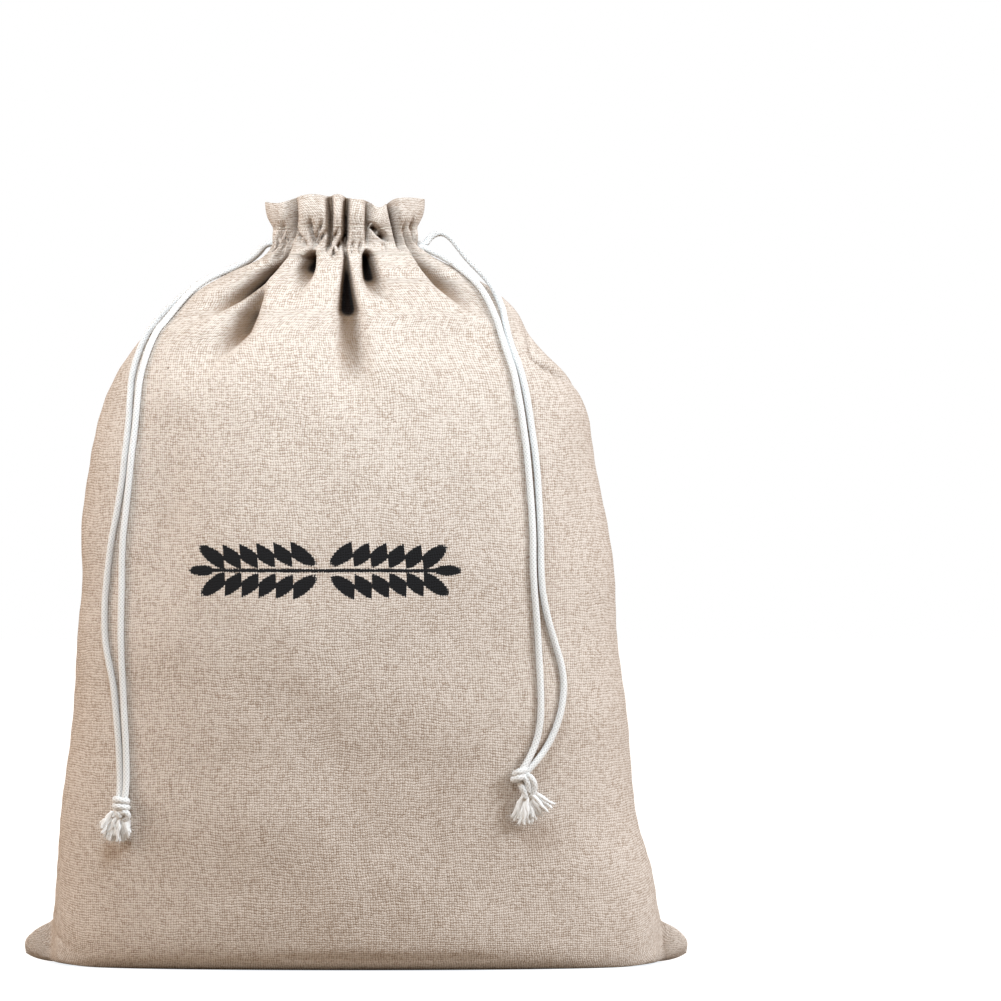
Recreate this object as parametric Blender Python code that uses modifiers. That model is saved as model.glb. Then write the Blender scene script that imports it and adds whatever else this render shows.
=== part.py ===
"""Linen drawstring bread bag, filled out and drawn shut, standing on its base.

Two panels of oatmeal canvas, each 305 mm wide, are sewn together down the sides and along the
bottom. A hem round the top holds two cotton cords: one leaves the hem at the left seam and one at
the right seam, and each hangs down the front as two tails tied in one frayed overhand knot.
Metres, +Z up, front towards -Y. The origin is the middle of the base on the floor.
Lengths in the tables are in millimetres.
"""

import math

import bmesh
import bpy
import numpy as np
from mathutils import Matrix, Vector
from mathutils.bvhtree import BVHTree

MM = 0.001

# Driving sizes
CLOTH_THICKNESS = 1.2
SEAM_GAP = 0.3
CORD_DIAMETER = 3.0
CORD_CLEARANCE = 0.6
CORD_STEP = 9.0
EAR_ROOT = 139.5
EAR_BULGE = 4.0
EAR_ALONG = 68.0
EAR_BLEND = 3.0
EAR_LEAST = 1.0
CORNER_RISE_POWER = 24
SEAM_FADE = 0.25
COLUMNS_ACROSS = {"front": 48, "back": 40}
ROUTE_STEPS = 16
FRONT_START = -200.0

# Cross-sections of the filled bag, one row for each, listed along the cloth from the bottom seam.
# along: distance from the bottom seam, middle and seam: heights of the row's middle and of its
# two ends at the side seams, left and right: the side seams, front and back: depths of the two
# panels, fullness: 2 for an ellipse, more for a boxier section.
SECTIONS = (
    # along, middle, seam,  left,  right, front, back, fullness
    (0.0,     0.0,   4.5, -152.0, 152.0,  0.0,   0.0, 2.3),
    (14.0,    0.0,   8.5, -152.5, 152.5, 14.0,  14.0, 2.4),
    (28.0,    0.0,  13.0, -150.8, 151.0, 28.0,  28.0, 2.5),
    (42.0,    0.0,  17.0, -146.0, 146.5, 42.0,  43.0, 2.6),
    (56.0,    3.5,  19.5, -141.0, 141.2, 51.5,  53.0, 2.6),
    (68.0,   12.0,  24.0, -139.2, 139.4, 56.0,  58.0, 2.6),
    (92.0,   35.0,  42.0, -137.8, 136.5, 59.0,  61.0, 2.5),
    (125.0,  68.0,  70.0, -135.8, 128.8, 62.0,  64.0, 2.4),
    (171.0, 113.0, 113.0, -130.6, 125.0, 65.0,  66.0, 2.3),
    (213.0, 155.0, 155.0, -127.8, 119.8, 66.0,  66.4, 2.2),
    (236.0, 178.0, 178.0, -125.6, 119.0, 65.5,  66.0, 2.2),
    (256.0, 198.0, 198.0, -126.5, 116.5, 64.5,  64.0, 2.2),
    (288.0, 230.0, 230.0, -122.8, 110.2, 60.5,  59.0, 2.2),
    (310.0, 252.0, 252.0, -118.3, 107.0, 56.0,  54.0, 2.2),
    (325.0, 267.0, 267.0, -112.5,  99.4, 52.0,  49.0, 2.2),
    (346.0, 288.0, 288.0,  -98.3,  80.5, 42.5,  40.0, 2.1),
    (357.0, 299.0, 299.0,  -84.8,  74.5, 36.5,  34.0, 2.1),
    (367.0, 309.0, 309.0,  -74.0,  64.5, 30.0,  28.0, 2.0),
    (375.0, 317.0, 317.0,  -59.5,  51.5, 24.5,  22.5, 2.0),
    (383.0, 325.0, 325.0,  -43.5,  36.0, 19.0,  17.5, 2.0),
    (389.0, 331.0, 331.0,  -39.0,  29.0, 16.0,  15.0, 2.0),
    (395.0, 337.0, 337.0,  -39.0,  29.0, 16.0,  15.0, 2.0),
    (402.0, 344.0, 344.0,  -41.5,  31.5, 18.5,  17.5, 2.0),
    (410.0, 351.0, 351.0,  -42.7,  32.4, 20.5,  19.5, 2.0),
)

# Rows of the cloth's mesh, closest where the cloth is folded or gathered.
# from, to: distances along the cloth, rows: how many steps between them.
MESH_STRETCHES = (
    # from,   to, rows
    (0.0,    42.0, 2),
    (42.0,   68.0, 3),
    (68.0,  288.0, 7),
    (288.0, 346.0, 4),
    (346.0, 375.0, 4),
    (375.0, 410.0, 8),
)

# Troughs pressed into each panel, one row for each, from the neck down. x and z: the trough's line
# at its top, middle and low end, width: half its width there, depth: how far it is pressed in.
# A trough that starts at the rim keeps its depth there, and any other fades out above its top.
FRONT_TROUGHS = (
    # x_top, z_top, x_mid, z_mid, x_low, z_low, w_top, w_mid, w_low, d_top, d_mid
    (-26.0, 352.0, -29.0, 332.0, -33.0, 318.0, 3.2, 2.6, 3.5, 5.0, 7.0),
    (-13.0, 352.0, -12.5, 332.0, -16.0, 318.0, 3.0, 2.4, 3.2, 7.0, 7.5),
    (-4.0,  352.0,  -4.0, 332.0,  -3.5, 322.0, 2.4, 2.4, 2.8, 7.5, 8.0),
    (7.5,   352.0,   5.0, 332.0,   4.0, 320.0, 3.0, 2.4, 3.2, 6.0, 8.0),
    (17.0,  352.0,  15.0, 332.0,  16.0, 320.0, 2.8, 2.4, 3.5, 7.0, 7.0),
    (-2.7,  328.0,  -2.7, 303.0,  -3.0, 254.0, 3.0, 4.8, 11.0, 7.0, 14.0),
    (-18.5, 326.0, -20.0, 320.5, -28.0, 306.0, 4.0, 5.0, 8.0, 5.0, 9.0),
    (4.5,   326.0,   6.0, 319.0,  13.0, 301.0, 3.0, 4.2, 8.0, 5.0, 12.0),
    (-31.0, 328.0, -42.0, 316.0, -76.0, 294.0, 3.0, 4.6, 8.0, 4.0, 9.0),
    (-37.0, 317.0, -50.0, 299.0, -78.0, 268.0, 4.0, 8.0, 14.0, 3.0, 10.5),
    (23.5,  328.0,  33.0, 316.0,  56.0, 296.0, 3.0, 6.0, 10.0, 4.0, 9.0),
    (84.0,  281.0,  91.0, 273.0, 101.0, 265.0, 3.0, 4.5, 6.0, 2.0, 4.5),
    (-86.0, 258.0, -88.0, 205.0, -92.0, 150.0, 14.0, 22.0, 26.0, 0.0, 4.5),
    (-30.0, 134.0, -12.0,  96.0,   8.0,  40.0, 20.0, 30.0, 30.0, 0.0, 3.0),
    (100.0, 240.0, 102.0, 196.0, 106.0, 140.0, 10.0, 14.0, 16.0, 0.0, 2.5),
)
BACK_TROUGHS = (
    # x_top, z_top, x_mid, z_mid, x_low, z_low, w_top, w_mid, w_low, d_top, d_mid
    (-27.0, 352.0, -27.0, 332.0, -34.0, 316.0, 3.2, 2.6, 3.5, 6.0, 7.0),
    (-14.0, 352.0, -15.0, 332.0, -18.0, 316.0, 3.2, 2.6, 3.5, 6.5, 7.5),
    (-2.0,  352.0,  -3.0, 332.0,  -3.0, 318.0, 3.0, 2.6, 3.2, 7.0, 7.5),
    (11.0,  352.0,  10.0, 332.0,  12.0, 316.0, 3.2, 2.6, 3.5, 6.5, 7.5),
    (21.0,  352.0,  20.0, 332.0,  24.0, 320.0, 3.0, 2.6, 3.5, 6.0, 6.5),
    (-9.0,  328.0, -12.0, 304.0, -16.0, 258.0, 3.0, 5.0, 12.0, 5.0, 11.0),
    (8.0,   326.0,  15.0, 306.0,  28.0, 266.0, 3.0, 5.0, 12.0, 5.0, 10.0),
    (-24.0, 326.0, -42.0, 308.0, -68.0, 276.0, 3.0, 6.0, 12.0, 4.0, 9.0),
    (24.0,  326.0,  40.0, 308.0,  64.0, 280.0, 3.0, 6.0, 12.0, 4.0, 8.0),
    (40.0,  200.0,  20.0, 140.0,   0.0,  60.0, 20.0, 30.0, 30.0, 0.0, 3.5),
)
TROUGH_FADE = 7.0

# Scallops of the rim: each puff of the frill stands a little higher or lower than the next.
# x: middle of the puff, half_width, lift: how far its top stands above the plain rim.
RIM_PUFFS = (
    # x, half_width, lift
    (-36.0,  8.0, -1.5),
    (-20.0, 10.0,  1.8),
    (-8.5,   4.0,  1.6),
    (1.0,    5.0, -0.8),
    (11.5,   5.0, -3.6),
    (24.5,   9.0,  0.4),
)
FRILL_HEIGHT = 18.0
RIM_HEIGHT = 351.0

# Routes of the four cord tails, chosen by eye, from the hem's exit to the knot.
# x, y, z and lies: 1 where the cord lies on the cloth, 0 where it stands clear of it.
LEFT_OUTER_ROUTE = (
    (-41.4,   1.9, 330.6, 0), (-51.5,   2.0, 323.6, 0), (-61.5,  1.9, 318.6, 0),
    (-69.0,   1.8, 315.0, 0), (-76.4,   1.2, 310.2, 0), (-82.6, -0.6, 304.2, 0),
    (-89.0,  -4.5, 299.0, 0), (-94.6, -11.5, 289.5, 1), (-99.4, -19.0, 280.0, 1),
    (-102.2, -24.0, 268.0, 1), (-104.0, -28.0, 254.0, 1), (-106.3, -32.0, 233.0, 1),
    (-108.6, -33.0, 213.0, 1), (-111.2, -32.0, 191.0, 1), (-112.7, -32.0, 169.0, 1),
    (-112.0, -34.0, 148.0, 1), (-109.4, -38.0, 131.0, 1), (-108.8, -40.0, 118.0, 1),
    (-108.9, -41.0, 101.0, 1), (-109.0, -41.0, 88.0, 1), (-108.8, -42.8, 77.2, 1),
)
LEFT_INNER_ROUTE = (
    (-41.4,  -1.9, 330.6, 0), (-51.5,  -1.8, 323.6, 0), (-61.5, -2.0, 318.6, 0),
    (-68.0,  -2.6, 315.6, 0), (-74.6,  -4.0, 311.0, 0), (-80.6, -7.0, 304.4, 1),
    (-86.0, -12.0, 297.4, 1), (-91.4, -18.0, 288.5, 1), (-95.6, -24.0, 280.0, 1),
    (-98.6, -28.0, 268.0, 1), (-100.4, -32.0, 254.0, 1), (-102.2, -36.0, 233.0, 1),
    (-104.0, -38.0, 213.0, 1), (-105.6, -38.0, 191.0, 1), (-105.9, -40.0, 169.0, 1),
    (-106.0, -41.0, 148.0, 1), (-105.6, -42.0, 131.0, 1), (-105.2, -43.0, 118.0, 1),
    (-105.0, -43.0, 101.0, 1), (-104.2, -43.4, 89.0, 1), (-105.4, -44.4, 77.3, 1),
)
RIGHT_ARCH_ROUTE = (
    (31.2,    1.9, 330.8, 0), (34.4,   2.6, 333.4, 0), (38.8,   2.4, 335.4, 0),
    (43.0,    1.2, 332.8, 0), (47.0,  -0.6, 327.4, 0), (51.8,  -3.0, 322.4, 0),
    (57.2,   -6.4, 317.8, 0), (62.2, -10.6, 312.6, 0), (65.8, -14.5, 306.6, 1),
    (68.6,  -19.0, 300.0, 1), (70.6, -26.0, 289.5, 1), (72.6, -30.0, 279.5, 1),
    (75.4,  -34.0, 267.0, 1), (78.2, -38.0, 251.0, 1), (80.2, -41.0, 240.0, 1),
    (82.0,  -43.0, 225.0, 1), (82.8, -46.0, 207.0, 1), (82.8, -47.0, 191.0, 1),
    (83.0,  -48.0, 178.0, 1), (84.6, -48.0, 167.0, 1), (88.4, -46.0, 152.0, 1),
    (92.2,  -44.0, 139.0, 1), (93.4, -44.0, 129.0, 1), (91.4, -46.0, 116.5, 1),
    (87.4,  -48.0, 105.0, 1), (83.4, -50.0,  98.0, 1), (79.3, -53.2,  90.0, 1),
)
RIGHT_LOW_ROUTE = (
    (31.4,   -1.9, 328.8, 0), (36.4,  -3.0, 326.8, 0), (42.4,  -5.0, 323.6, 0),
    (48.8,   -9.5, 320.4, 1), (54.6, -13.5, 315.6, 1), (59.6, -18.0, 309.6, 1),
    (63.6,  -22.0, 302.4, 1), (66.4, -26.0, 290.0, 1), (68.6, -30.0, 279.5, 1),
    (71.8,  -36.0, 267.0, 1), (74.6, -40.0, 251.0, 1), (76.6, -43.0, 240.0, 1),
    (78.4,  -46.0, 225.0, 1), (79.2, -48.0, 207.0, 1), (79.2, -49.0, 191.0, 1),
    (79.4,  -50.0, 178.0, 1), (80.6, -50.0, 167.0, 1), (82.0, -50.0, 152.0, 1),
    (82.4,  -50.0, 138.0, 1), (82.4, -50.0, 124.0, 1), (81.6, -50.0, 110.0, 1),
    (79.4,  -51.0, 101.0, 1), (76.3, -53.6,  92.2, 1),
)

# Knots: centre of the overhand knot and the strands of its frayed ends.
# The strands are rows of tip x and tip z, both from the knot's centre, and y towards the front.
LEFT_KNOT = {"x": -107.2, "z": 73.0, "lean": -8.0}
RIGHT_KNOT = {"x": 76.6, "z": 87.2, "lean": 20.0}
LEFT_STRANDS = (
    # tip_x, tip_y, tip_z
    (-9.6, -0.6, -12.6),
    (-8.0, -2.2, -14.8),
    (-6.0, 0.6, -16.6),
    (-4.2, -2.6, -16.4),
    (-2.0, -0.4, -17.8),
    (0.2, -2.4, -17.0),
    (2.2, 0.6, -17.4),
    (3.8, -1.4, -15.6),
    (5.2, 0.2, -13.4),
    (-3.4, 2.0, -16.2),
)
RIGHT_STRANDS = (
    # tip_x, tip_y, tip_z
    (-6.4, -0.8, -17.0),
    (-4.2, -2.4, -19.0),
    (-2.0, 0.8, -20.6),
    (0.2, -1.8, -22.0),
    (2.8, 0.6, -20.6),
    (5.2, -2.4, -19.0),
    (7.8, 0.4, -17.4),
    (10.2, -1.6, -15.4),
    (12.8, 0.4, -12.6),
    (3.6, 2.0, -18.6),
)
KNOT_CORE = (4.3, 3.3, 4.6)
KNOT_WRAP_RADIUS = 3.9
KNOT_WRAP_THICKNESS = 1.6
KNOT_WRAPS = (
    # tilt in degrees, rise above the knot's centre
    (18.0,  1.9),
    (-24.0, -1.3),
)
CORE_SEGMENTS = (12, 8)
WRAP_SEGMENTS = (14, 6)
STRAND_ROOT_RADIUS = 1.15
STRAND_TIP_RADIUS = 0.45
STRAND_ROOT_SPREAD = 0.27
STRAND_ROOT_DROP = 1.0

LINEN_COLOUR = (0.66, 0.56, 0.46, 1.0)
COTTON_COLOUR = (0.86, 0.85, 0.82, 1.0)


def smooth_step(low, high, value):
    """0 below low, 1 above high, and a soft ramp between them."""
    t = min(max((value - low) / (high - low), 0.0), 1.0)
    return t * t * (3.0 - 2.0 * t)


def smooth_column(xs, ys, at):
    """Value of a smooth curve without overshoot through the points (xs, ys)."""
    at = min(max(at, xs[0]), xs[-1])
    i = min(int(np.searchsorted(xs, at, side="right")) - 1, len(xs) - 2)
    slopes = [(ys[k + 1] - ys[k]) / (xs[k + 1] - xs[k]) for k in range(len(xs) - 1)]

    def tangent(k):
        if k == 0 or k == len(xs) - 1:
            return slopes[min(k, len(slopes) - 1)]
        before, after = slopes[k - 1], slopes[k]
        return 0.0 if before * after <= 0.0 else 2.0 * before * after / (before + after)

    width = xs[i + 1] - xs[i]
    t = (at - xs[i]) / width
    return ((2 * t**3 - 3 * t**2 + 1) * ys[i] + (t**3 - 2 * t**2 + t) * width * tangent(i)
            + (-2 * t**3 + 3 * t**2) * ys[i + 1] + (t**3 - t**2) * width * tangent(i + 1))


def section_at(along):
    """The cross-section of the bag at a distance along the cloth, between the table's rows."""
    names = ("along", "middle", "seam", "left", "right", "front", "back", "fullness")
    table = np.array(SECTIONS)
    return {name: smooth_column(table[:, 0], table[:, k], along) for k, name in enumerate(names)}


def trough_push(troughs, x, z, centre, half_width, depth):
    """How far the troughs press the cloth in at x on the section of height z."""
    angle = math.acos(min(max((centre - x) / half_width, -1.0), 1.0))
    push = 0.0
    for x_top, z_top, x_mid, z_mid, x_low, z_low, w_top, w_mid, w_low, d_top, d_mid in troughs:
        heights = (z_low, z_mid, z_top)
        line = float(np.interp(z, heights, (x_low, x_mid, x_top)))
        width = float(np.interp(z, heights, (w_low, w_mid, w_top)))
        deep = float(np.interp(z, heights, (0.0, d_mid, d_top)))
        if z_top < RIM_HEIGHT:
            deep *= 1.0 - smooth_step(z_top, z_top + TROUGH_FADE, z)
        line_angle = math.acos(min(max((centre - line) / half_width, -1.0), 1.0))
        stretch = math.hypot(half_width * math.sin(line_angle), depth * math.cos(line_angle))
        push += deep * math.exp(-((angle - line_angle) * stretch / width) ** 2)
    return push


def cloth_point(side, across, along):
    """A point of the cloth's outer face: across runs 0 to 1 from the left seam to the right."""
    row = section_at(along)
    centre = (row["left"] + row["right"]) / 2
    half_width = (row["right"] - row["left"]) / 2
    depth = row[side]
    angle = math.pi * across
    cosine, sine = math.cos(angle), math.sin(angle)
    x = centre - half_width * cosine
    out = depth * max(sine, 0.0) ** (2.0 / row["fullness"])
    z = row["middle"] + (row["seam"] - row["middle"]) * abs(cosine) ** CORNER_RISE_POWER

    # The sewn corner sticks out as a small flat ear of two layers
    ear_tip = abs(row["left"]) if x < 0 else row["right"]
    if ear_tip > EAR_ROOT + EAR_LEAST and abs(x) > EAR_ROOT - EAR_BLEND:
        reach = (abs(x) - EAR_ROOT) / (ear_tip - EAR_ROOT)
        lobe = EAR_BULGE * math.sin(math.pi * min(along / EAR_ALONG, 1.0))
        lobe *= math.sqrt(max(0.0, 1.0 - max(reach, 0.0) ** 2))
        ear = smooth_step(EAR_ROOT - EAR_BLEND, EAR_ROOT + EAR_BLEND / 2, abs(x))
        out += (min(lobe, out + EAR_BULGE) - out) * ear

    # Troughs are pressed in square to the section
    troughs = FRONT_TROUGHS if side == "front" else BACK_TROUGHS
    push = trough_push(troughs, x, z, centre, half_width, depth) * min(1.0, sine / SEAM_FADE)
    normal = Vector((-depth * cosine, half_width * sine, 0.0)).normalized()
    x -= push * normal.x
    out -= push * normal.y

    # The rim rises and dips from puff to puff
    frill = smooth_step(RIM_HEIGHT - FRILL_HEIGHT, RIM_HEIGHT, z)
    for puff_x, puff_half_width, lift in RIM_PUFFS:
        z += frill * lift * math.exp(-((x - puff_x) / puff_half_width) ** 2)

    y = max(out, 0.0) + SEAM_GAP / 2
    return Vector((x, -y if side == "front" else y, z)) * MM


def mesh_rows():
    """Distances along the cloth at which the mesh has a row."""
    rows = [MESH_STRETCHES[0][0]]
    for start, end, steps in MESH_STRETCHES:
        rows += [start + (end - start) * (k + 1) / steps for k in range(steps)]
    return rows


def material(name, colour, roughness):
    """A Principled material of one colour."""
    made = bpy.data.materials.new(name)
    made.use_nodes = True
    shader = made.node_tree.nodes["Principled BSDF"]
    shader.inputs["Base Color"].default_value = colour
    shader.inputs["Roughness"].default_value = roughness
    shader.inputs["Metallic"].default_value = 0.0
    return made


def apply_modifiers(obj):
    """Turn what the modifiers make into the object's own mesh."""
    graph = bpy.context.evaluated_depsgraph_get()
    made = bpy.data.meshes.new_from_object(obj.evaluated_get(graph))
    obj.modifiers.clear()
    obj.data = made


def panel_grid(side):
    """The outer face of one panel as an open grid whose faces point out of the bag."""
    columns = COLUMNS_ACROSS[side]
    rows = mesh_rows()
    work = bmesh.new()
    bmesh.ops.create_grid(work, x_segments=columns, y_segments=len(rows) - 1, size=0.5)
    for vert in work.verts:
        column = round((vert.co.x + 0.5) * columns)
        row = round((vert.co.y + 0.5) * (len(rows) - 1))
        vert.co = cloth_point(side, column / columns, rows[row])
    if side == "back":
        bmesh.ops.reverse_faces(work, faces=work.faces)
    return work


def outer_surface():
    """The whole outside of the bag, for laying the cords on."""
    whole = bmesh.new()
    for side in ("front", "back"):
        work = panel_grid(side)
        sheet = bpy.data.meshes.new("outer_face")
        work.to_mesh(sheet)
        work.free()
        whole.from_mesh(sheet)
        bpy.data.meshes.remove(sheet)
    tree = BVHTree.FromBMesh(whole)
    whole.free()
    return tree


def make_panel(name, side, collection, finish):
    """One cloth panel: its outer face thickened inwards."""
    mesh = bpy.data.meshes.new(name)
    work = panel_grid(side)
    work.to_mesh(mesh)
    work.free()
    panel = bpy.data.objects.new(name, mesh)
    collection.objects.link(panel)
    wall = panel.modifiers.new("cloth", "SOLIDIFY")
    wall.thickness = CLOTH_THICKNESS * MM
    wall.offset = -1.0
    apply_modifiers(panel)

    # The sewn edges stop at the seam and the base is flat on the floor
    reach = SEAM_GAP / 2 * MM
    for vert in panel.data.vertices:
        vert.co.y = min(vert.co.y, -reach) if side == "front" else max(vert.co.y, reach)
        vert.co.z = max(vert.co.z, 0.0)
    panel.data.materials.append(finish)
    panel.data.shade_smooth()
    return panel


def smooth_route(route, step):
    """Points at even spacing on a smooth curve through the route's points, with their lies value."""
    points = [np.array(row, dtype=float) for row in route]
    dense = []
    for i in range(len(points) - 1):
        before = points[max(i - 1, 0)]
        after = points[min(i + 2, len(points) - 1)]
        start, end = points[i], points[i + 1]
        for k in range(ROUTE_STEPS):
            t = k / ROUTE_STEPS
            dense.append(0.5 * (2 * start + (end - before) * t
                                + (2 * before - 5 * start + 4 * end - after) * t**2
                                + (3 * start - 3 * end + after - before) * t**3))
    dense.append(points[-1])
    lengths = [0.0]
    for a, b in zip(dense, dense[1:]):
        lengths.append(lengths[-1] + float(np.linalg.norm(b[:3] - a[:3])))
    count = max(2, round(lengths[-1] / step))
    stations = [lengths[-1] * k / count for k in range(count + 1)]
    table = np.array(dense)
    return [[float(np.interp(s, lengths, table[:, axis])) for axis in range(4)] for s in stations]


def laid_on_cloth(points, cloth, clearance):
    """Keep each point clear of the cloth, and bring those that lie on it to that clearance."""
    laid = []
    for x, y, z, lies in points:
        point = Vector((x, y, z)) * MM
        place, normal, _, _ = cloth.find_nearest(point)
        outside = (point - place).dot(normal)
        pull = 1.0 if outside < clearance else min(max(lies, 0.0), 1.0)
        laid.append(point.lerp(place + normal * clearance, pull))
    return laid


def make_cord(name, route, cloth, collection, finish):
    """One tail of the cotton cord: a round tube along its route over the cloth."""
    points = laid_on_cloth(smooth_route(route, CORD_STEP), cloth,
                           (CORD_DIAMETER / 2 + CORD_CLEARANCE) * MM)
    curve = bpy.data.curves.new(name, "CURVE")
    curve.dimensions = "3D"
    curve.bevel_depth = CORD_DIAMETER / 2 * MM
    curve.bevel_resolution = 2
    curve.use_fill_caps = True
    spline = curve.splines.new("POLY")
    spline.points.add(len(points) - 1)
    for slot, point in zip(spline.points, points):
        slot.co = (*point, 1.0)
    curve.materials.append(finish)
    cord = bpy.data.objects.new(name, curve)
    collection.objects.link(cord)
    return cord


def solid_mesh(name, add_shape, collection):
    """An object made by one mesh operator, placed by that operator's matrix."""
    mesh = bpy.data.meshes.new(name)
    work = bmesh.new()
    add_shape(work)
    work.to_mesh(mesh)
    work.free()
    solid = bpy.data.objects.new(name, mesh)
    collection.objects.link(solid)
    return solid


def wrap_turn(name, place, collection):
    """One turn of cord round the knot: a torus set square to the cord and tilted."""
    around, about = WRAP_SEGMENTS
    bpy.ops.mesh.primitive_torus_add(
        major_segments=around, minor_segments=about,
        major_radius=KNOT_WRAP_RADIUS * MM, minor_radius=KNOT_WRAP_THICKNESS * MM)
    turn = bpy.context.object
    turn.name = name
    turn.data.transform(place)
    for holder in list(turn.users_collection):
        holder.objects.unlink(turn)
    collection.objects.link(turn)
    return turn


def make_knot(name, knot, strands, cloth, collection, cutters, finish):
    """An overhand knot of the two tails with their frayed ends, joined into one solid."""
    start = Vector((knot["x"], FRONT_START, knot["z"])) * MM
    place, _, _, _ = cloth.ray_cast(start, Vector((0, 1, 0)))
    lift = (KNOT_WRAP_RADIUS + KNOT_WRAP_THICKNESS + CORD_CLEARANCE) * MM
    centre = Vector((place.x, place.y - lift, place.z))
    frame = Matrix.Translation(centre) @ Matrix.Rotation(math.radians(knot["lean"]), 4, "Y")

    size = Matrix.Diagonal((*(s * MM for s in KNOT_CORE), 1.0))
    columns, rows = CORE_SEGMENTS
    whole = solid_mesh(name, lambda work: bmesh.ops.create_uvsphere(
        work, u_segments=columns, v_segments=rows, radius=1.0, matrix=frame @ size), collection)

    pieces = []
    for k, (tilt, rise) in enumerate(KNOT_WRAPS):
        place = frame @ Matrix.Translation((0, 0, rise * MM))
        place = place @ Matrix.Rotation(math.radians(tilt), 4, "Y")
        pieces.append(wrap_turn(f"{name}_wrap_{k}", place, cutters))
    for k, tip in enumerate(strands):
        root = Vector((STRAND_ROOT_SPREAD * tip[0], STRAND_ROOT_SPREAD * tip[1],
                       -STRAND_ROOT_DROP)) * MM
        reach = Vector(tip) * MM - root
        turn = reach.to_track_quat("Z", "Y").to_matrix().to_4x4()
        strand = Matrix.Translation(centre + root + reach / 2) @ turn
        pieces.append(solid_mesh(
            f"{name}_strand_{k}", lambda work, place=strand, length=reach.length:
            bmesh.ops.create_cone(work, cap_ends=True, segments=4, depth=length, matrix=place,
                                  radius1=STRAND_ROOT_RADIUS * MM,
                                  radius2=STRAND_TIP_RADIUS * MM), cutters))
    for piece in pieces:
        piece.hide_render = True
        piece.display_type = "WIRE"
        join = whole.modifiers.new("join", "BOOLEAN")
        join.operation = "UNION"
        join.solver = "MANIFOLD"
        join.object = piece
    apply_modifiers(whole)
    whole.data.materials.append(finish)
    return whole


def build():
    """Clear the scene and make the bag."""
    for obj in list(bpy.data.objects):
        bpy.data.objects.remove(obj, do_unlink=True)
    bag = bpy.data.collections.new("linen_bread_bag")
    cutters = bpy.data.collections.new("cutters")
    bpy.context.scene.collection.children.link(bag)
    bpy.context.scene.collection.children.link(cutters)

    for side in ("front", "back"):
        make_panel(f"{side}_panel", side, bag, material(f"linen_{side}", LINEN_COLOUR, 0.9))
    cloth = outer_surface()

    for name, route in (("left_outer_cord", LEFT_OUTER_ROUTE), ("left_inner_cord", LEFT_INNER_ROUTE),
                        ("right_arch_cord", RIGHT_ARCH_ROUTE), ("right_low_cord", RIGHT_LOW_ROUTE)):
        make_cord(name, route, cloth, bag, material(f"{name}_cotton", COTTON_COLOUR, 0.8))
    for name, knot, strands in (("left_knot", LEFT_KNOT, LEFT_STRANDS),
                                ("right_knot", RIGHT_KNOT, RIGHT_STRANDS)):
        make_knot(name, knot, strands, cloth, bag, cutters,
                  material(f"{name}_cotton", COTTON_COLOUR, 0.8))


build()
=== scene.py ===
"""Linen drawstring bread bag, filled out and drawn shut, standing on its base: how it looks.

Metres, +Z up, the front towards -Y. The origin is the middle of the base on the floor.
Tables are in millimetres and become metres by MM.
"""
import math

import bpy
import numpy as np
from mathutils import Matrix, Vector, noise
from mathutils.bvhtree import BVHTree


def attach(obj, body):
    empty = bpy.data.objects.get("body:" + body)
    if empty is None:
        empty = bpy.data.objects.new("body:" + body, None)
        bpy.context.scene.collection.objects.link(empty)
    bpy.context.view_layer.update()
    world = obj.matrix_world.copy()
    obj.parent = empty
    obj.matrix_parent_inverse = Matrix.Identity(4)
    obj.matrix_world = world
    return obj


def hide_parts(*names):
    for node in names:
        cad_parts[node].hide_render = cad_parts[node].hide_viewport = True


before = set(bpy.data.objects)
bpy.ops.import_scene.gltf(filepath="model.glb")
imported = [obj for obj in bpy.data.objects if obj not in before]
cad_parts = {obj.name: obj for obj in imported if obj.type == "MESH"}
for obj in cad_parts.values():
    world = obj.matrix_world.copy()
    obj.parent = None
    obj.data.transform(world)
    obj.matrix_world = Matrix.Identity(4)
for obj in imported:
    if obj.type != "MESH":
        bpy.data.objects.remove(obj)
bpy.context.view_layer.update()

bpy.ops.object.select_all(action="DESELECT")
MM = 0.001


# Cloth of the bag
# Two panels of oatmeal linen and cotton canvas, 305 mm wide and cut 437 mm long, are sewn together
# down the sides and along the bottom. The top 27 mm of each is turned in as a hem for the cords,
# which gather the neck into a frill.
CLOTH_THICKNESS = 0.7
CLOTH_LENGTH = 410.0
HEM_DEPTH = 27.0
HEM_GAP = 1.6
SEAM_GAP = 0.1
EAR_ROOT = 139.5
EAR_BULGE = 4.0
EAR_ALONG = 68.0
EAR_BLEND = 3.0
EAR_LEAST = 1.0
CORNER_RISE_POWER = 24
SEAM_FADE = 0.25
RIM_HEIGHT = 351.0
FRILL_HEIGHT = 18.0
PANEL_COLUMNS = 230
MIDDLE_CROWDING = 0.22

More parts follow.
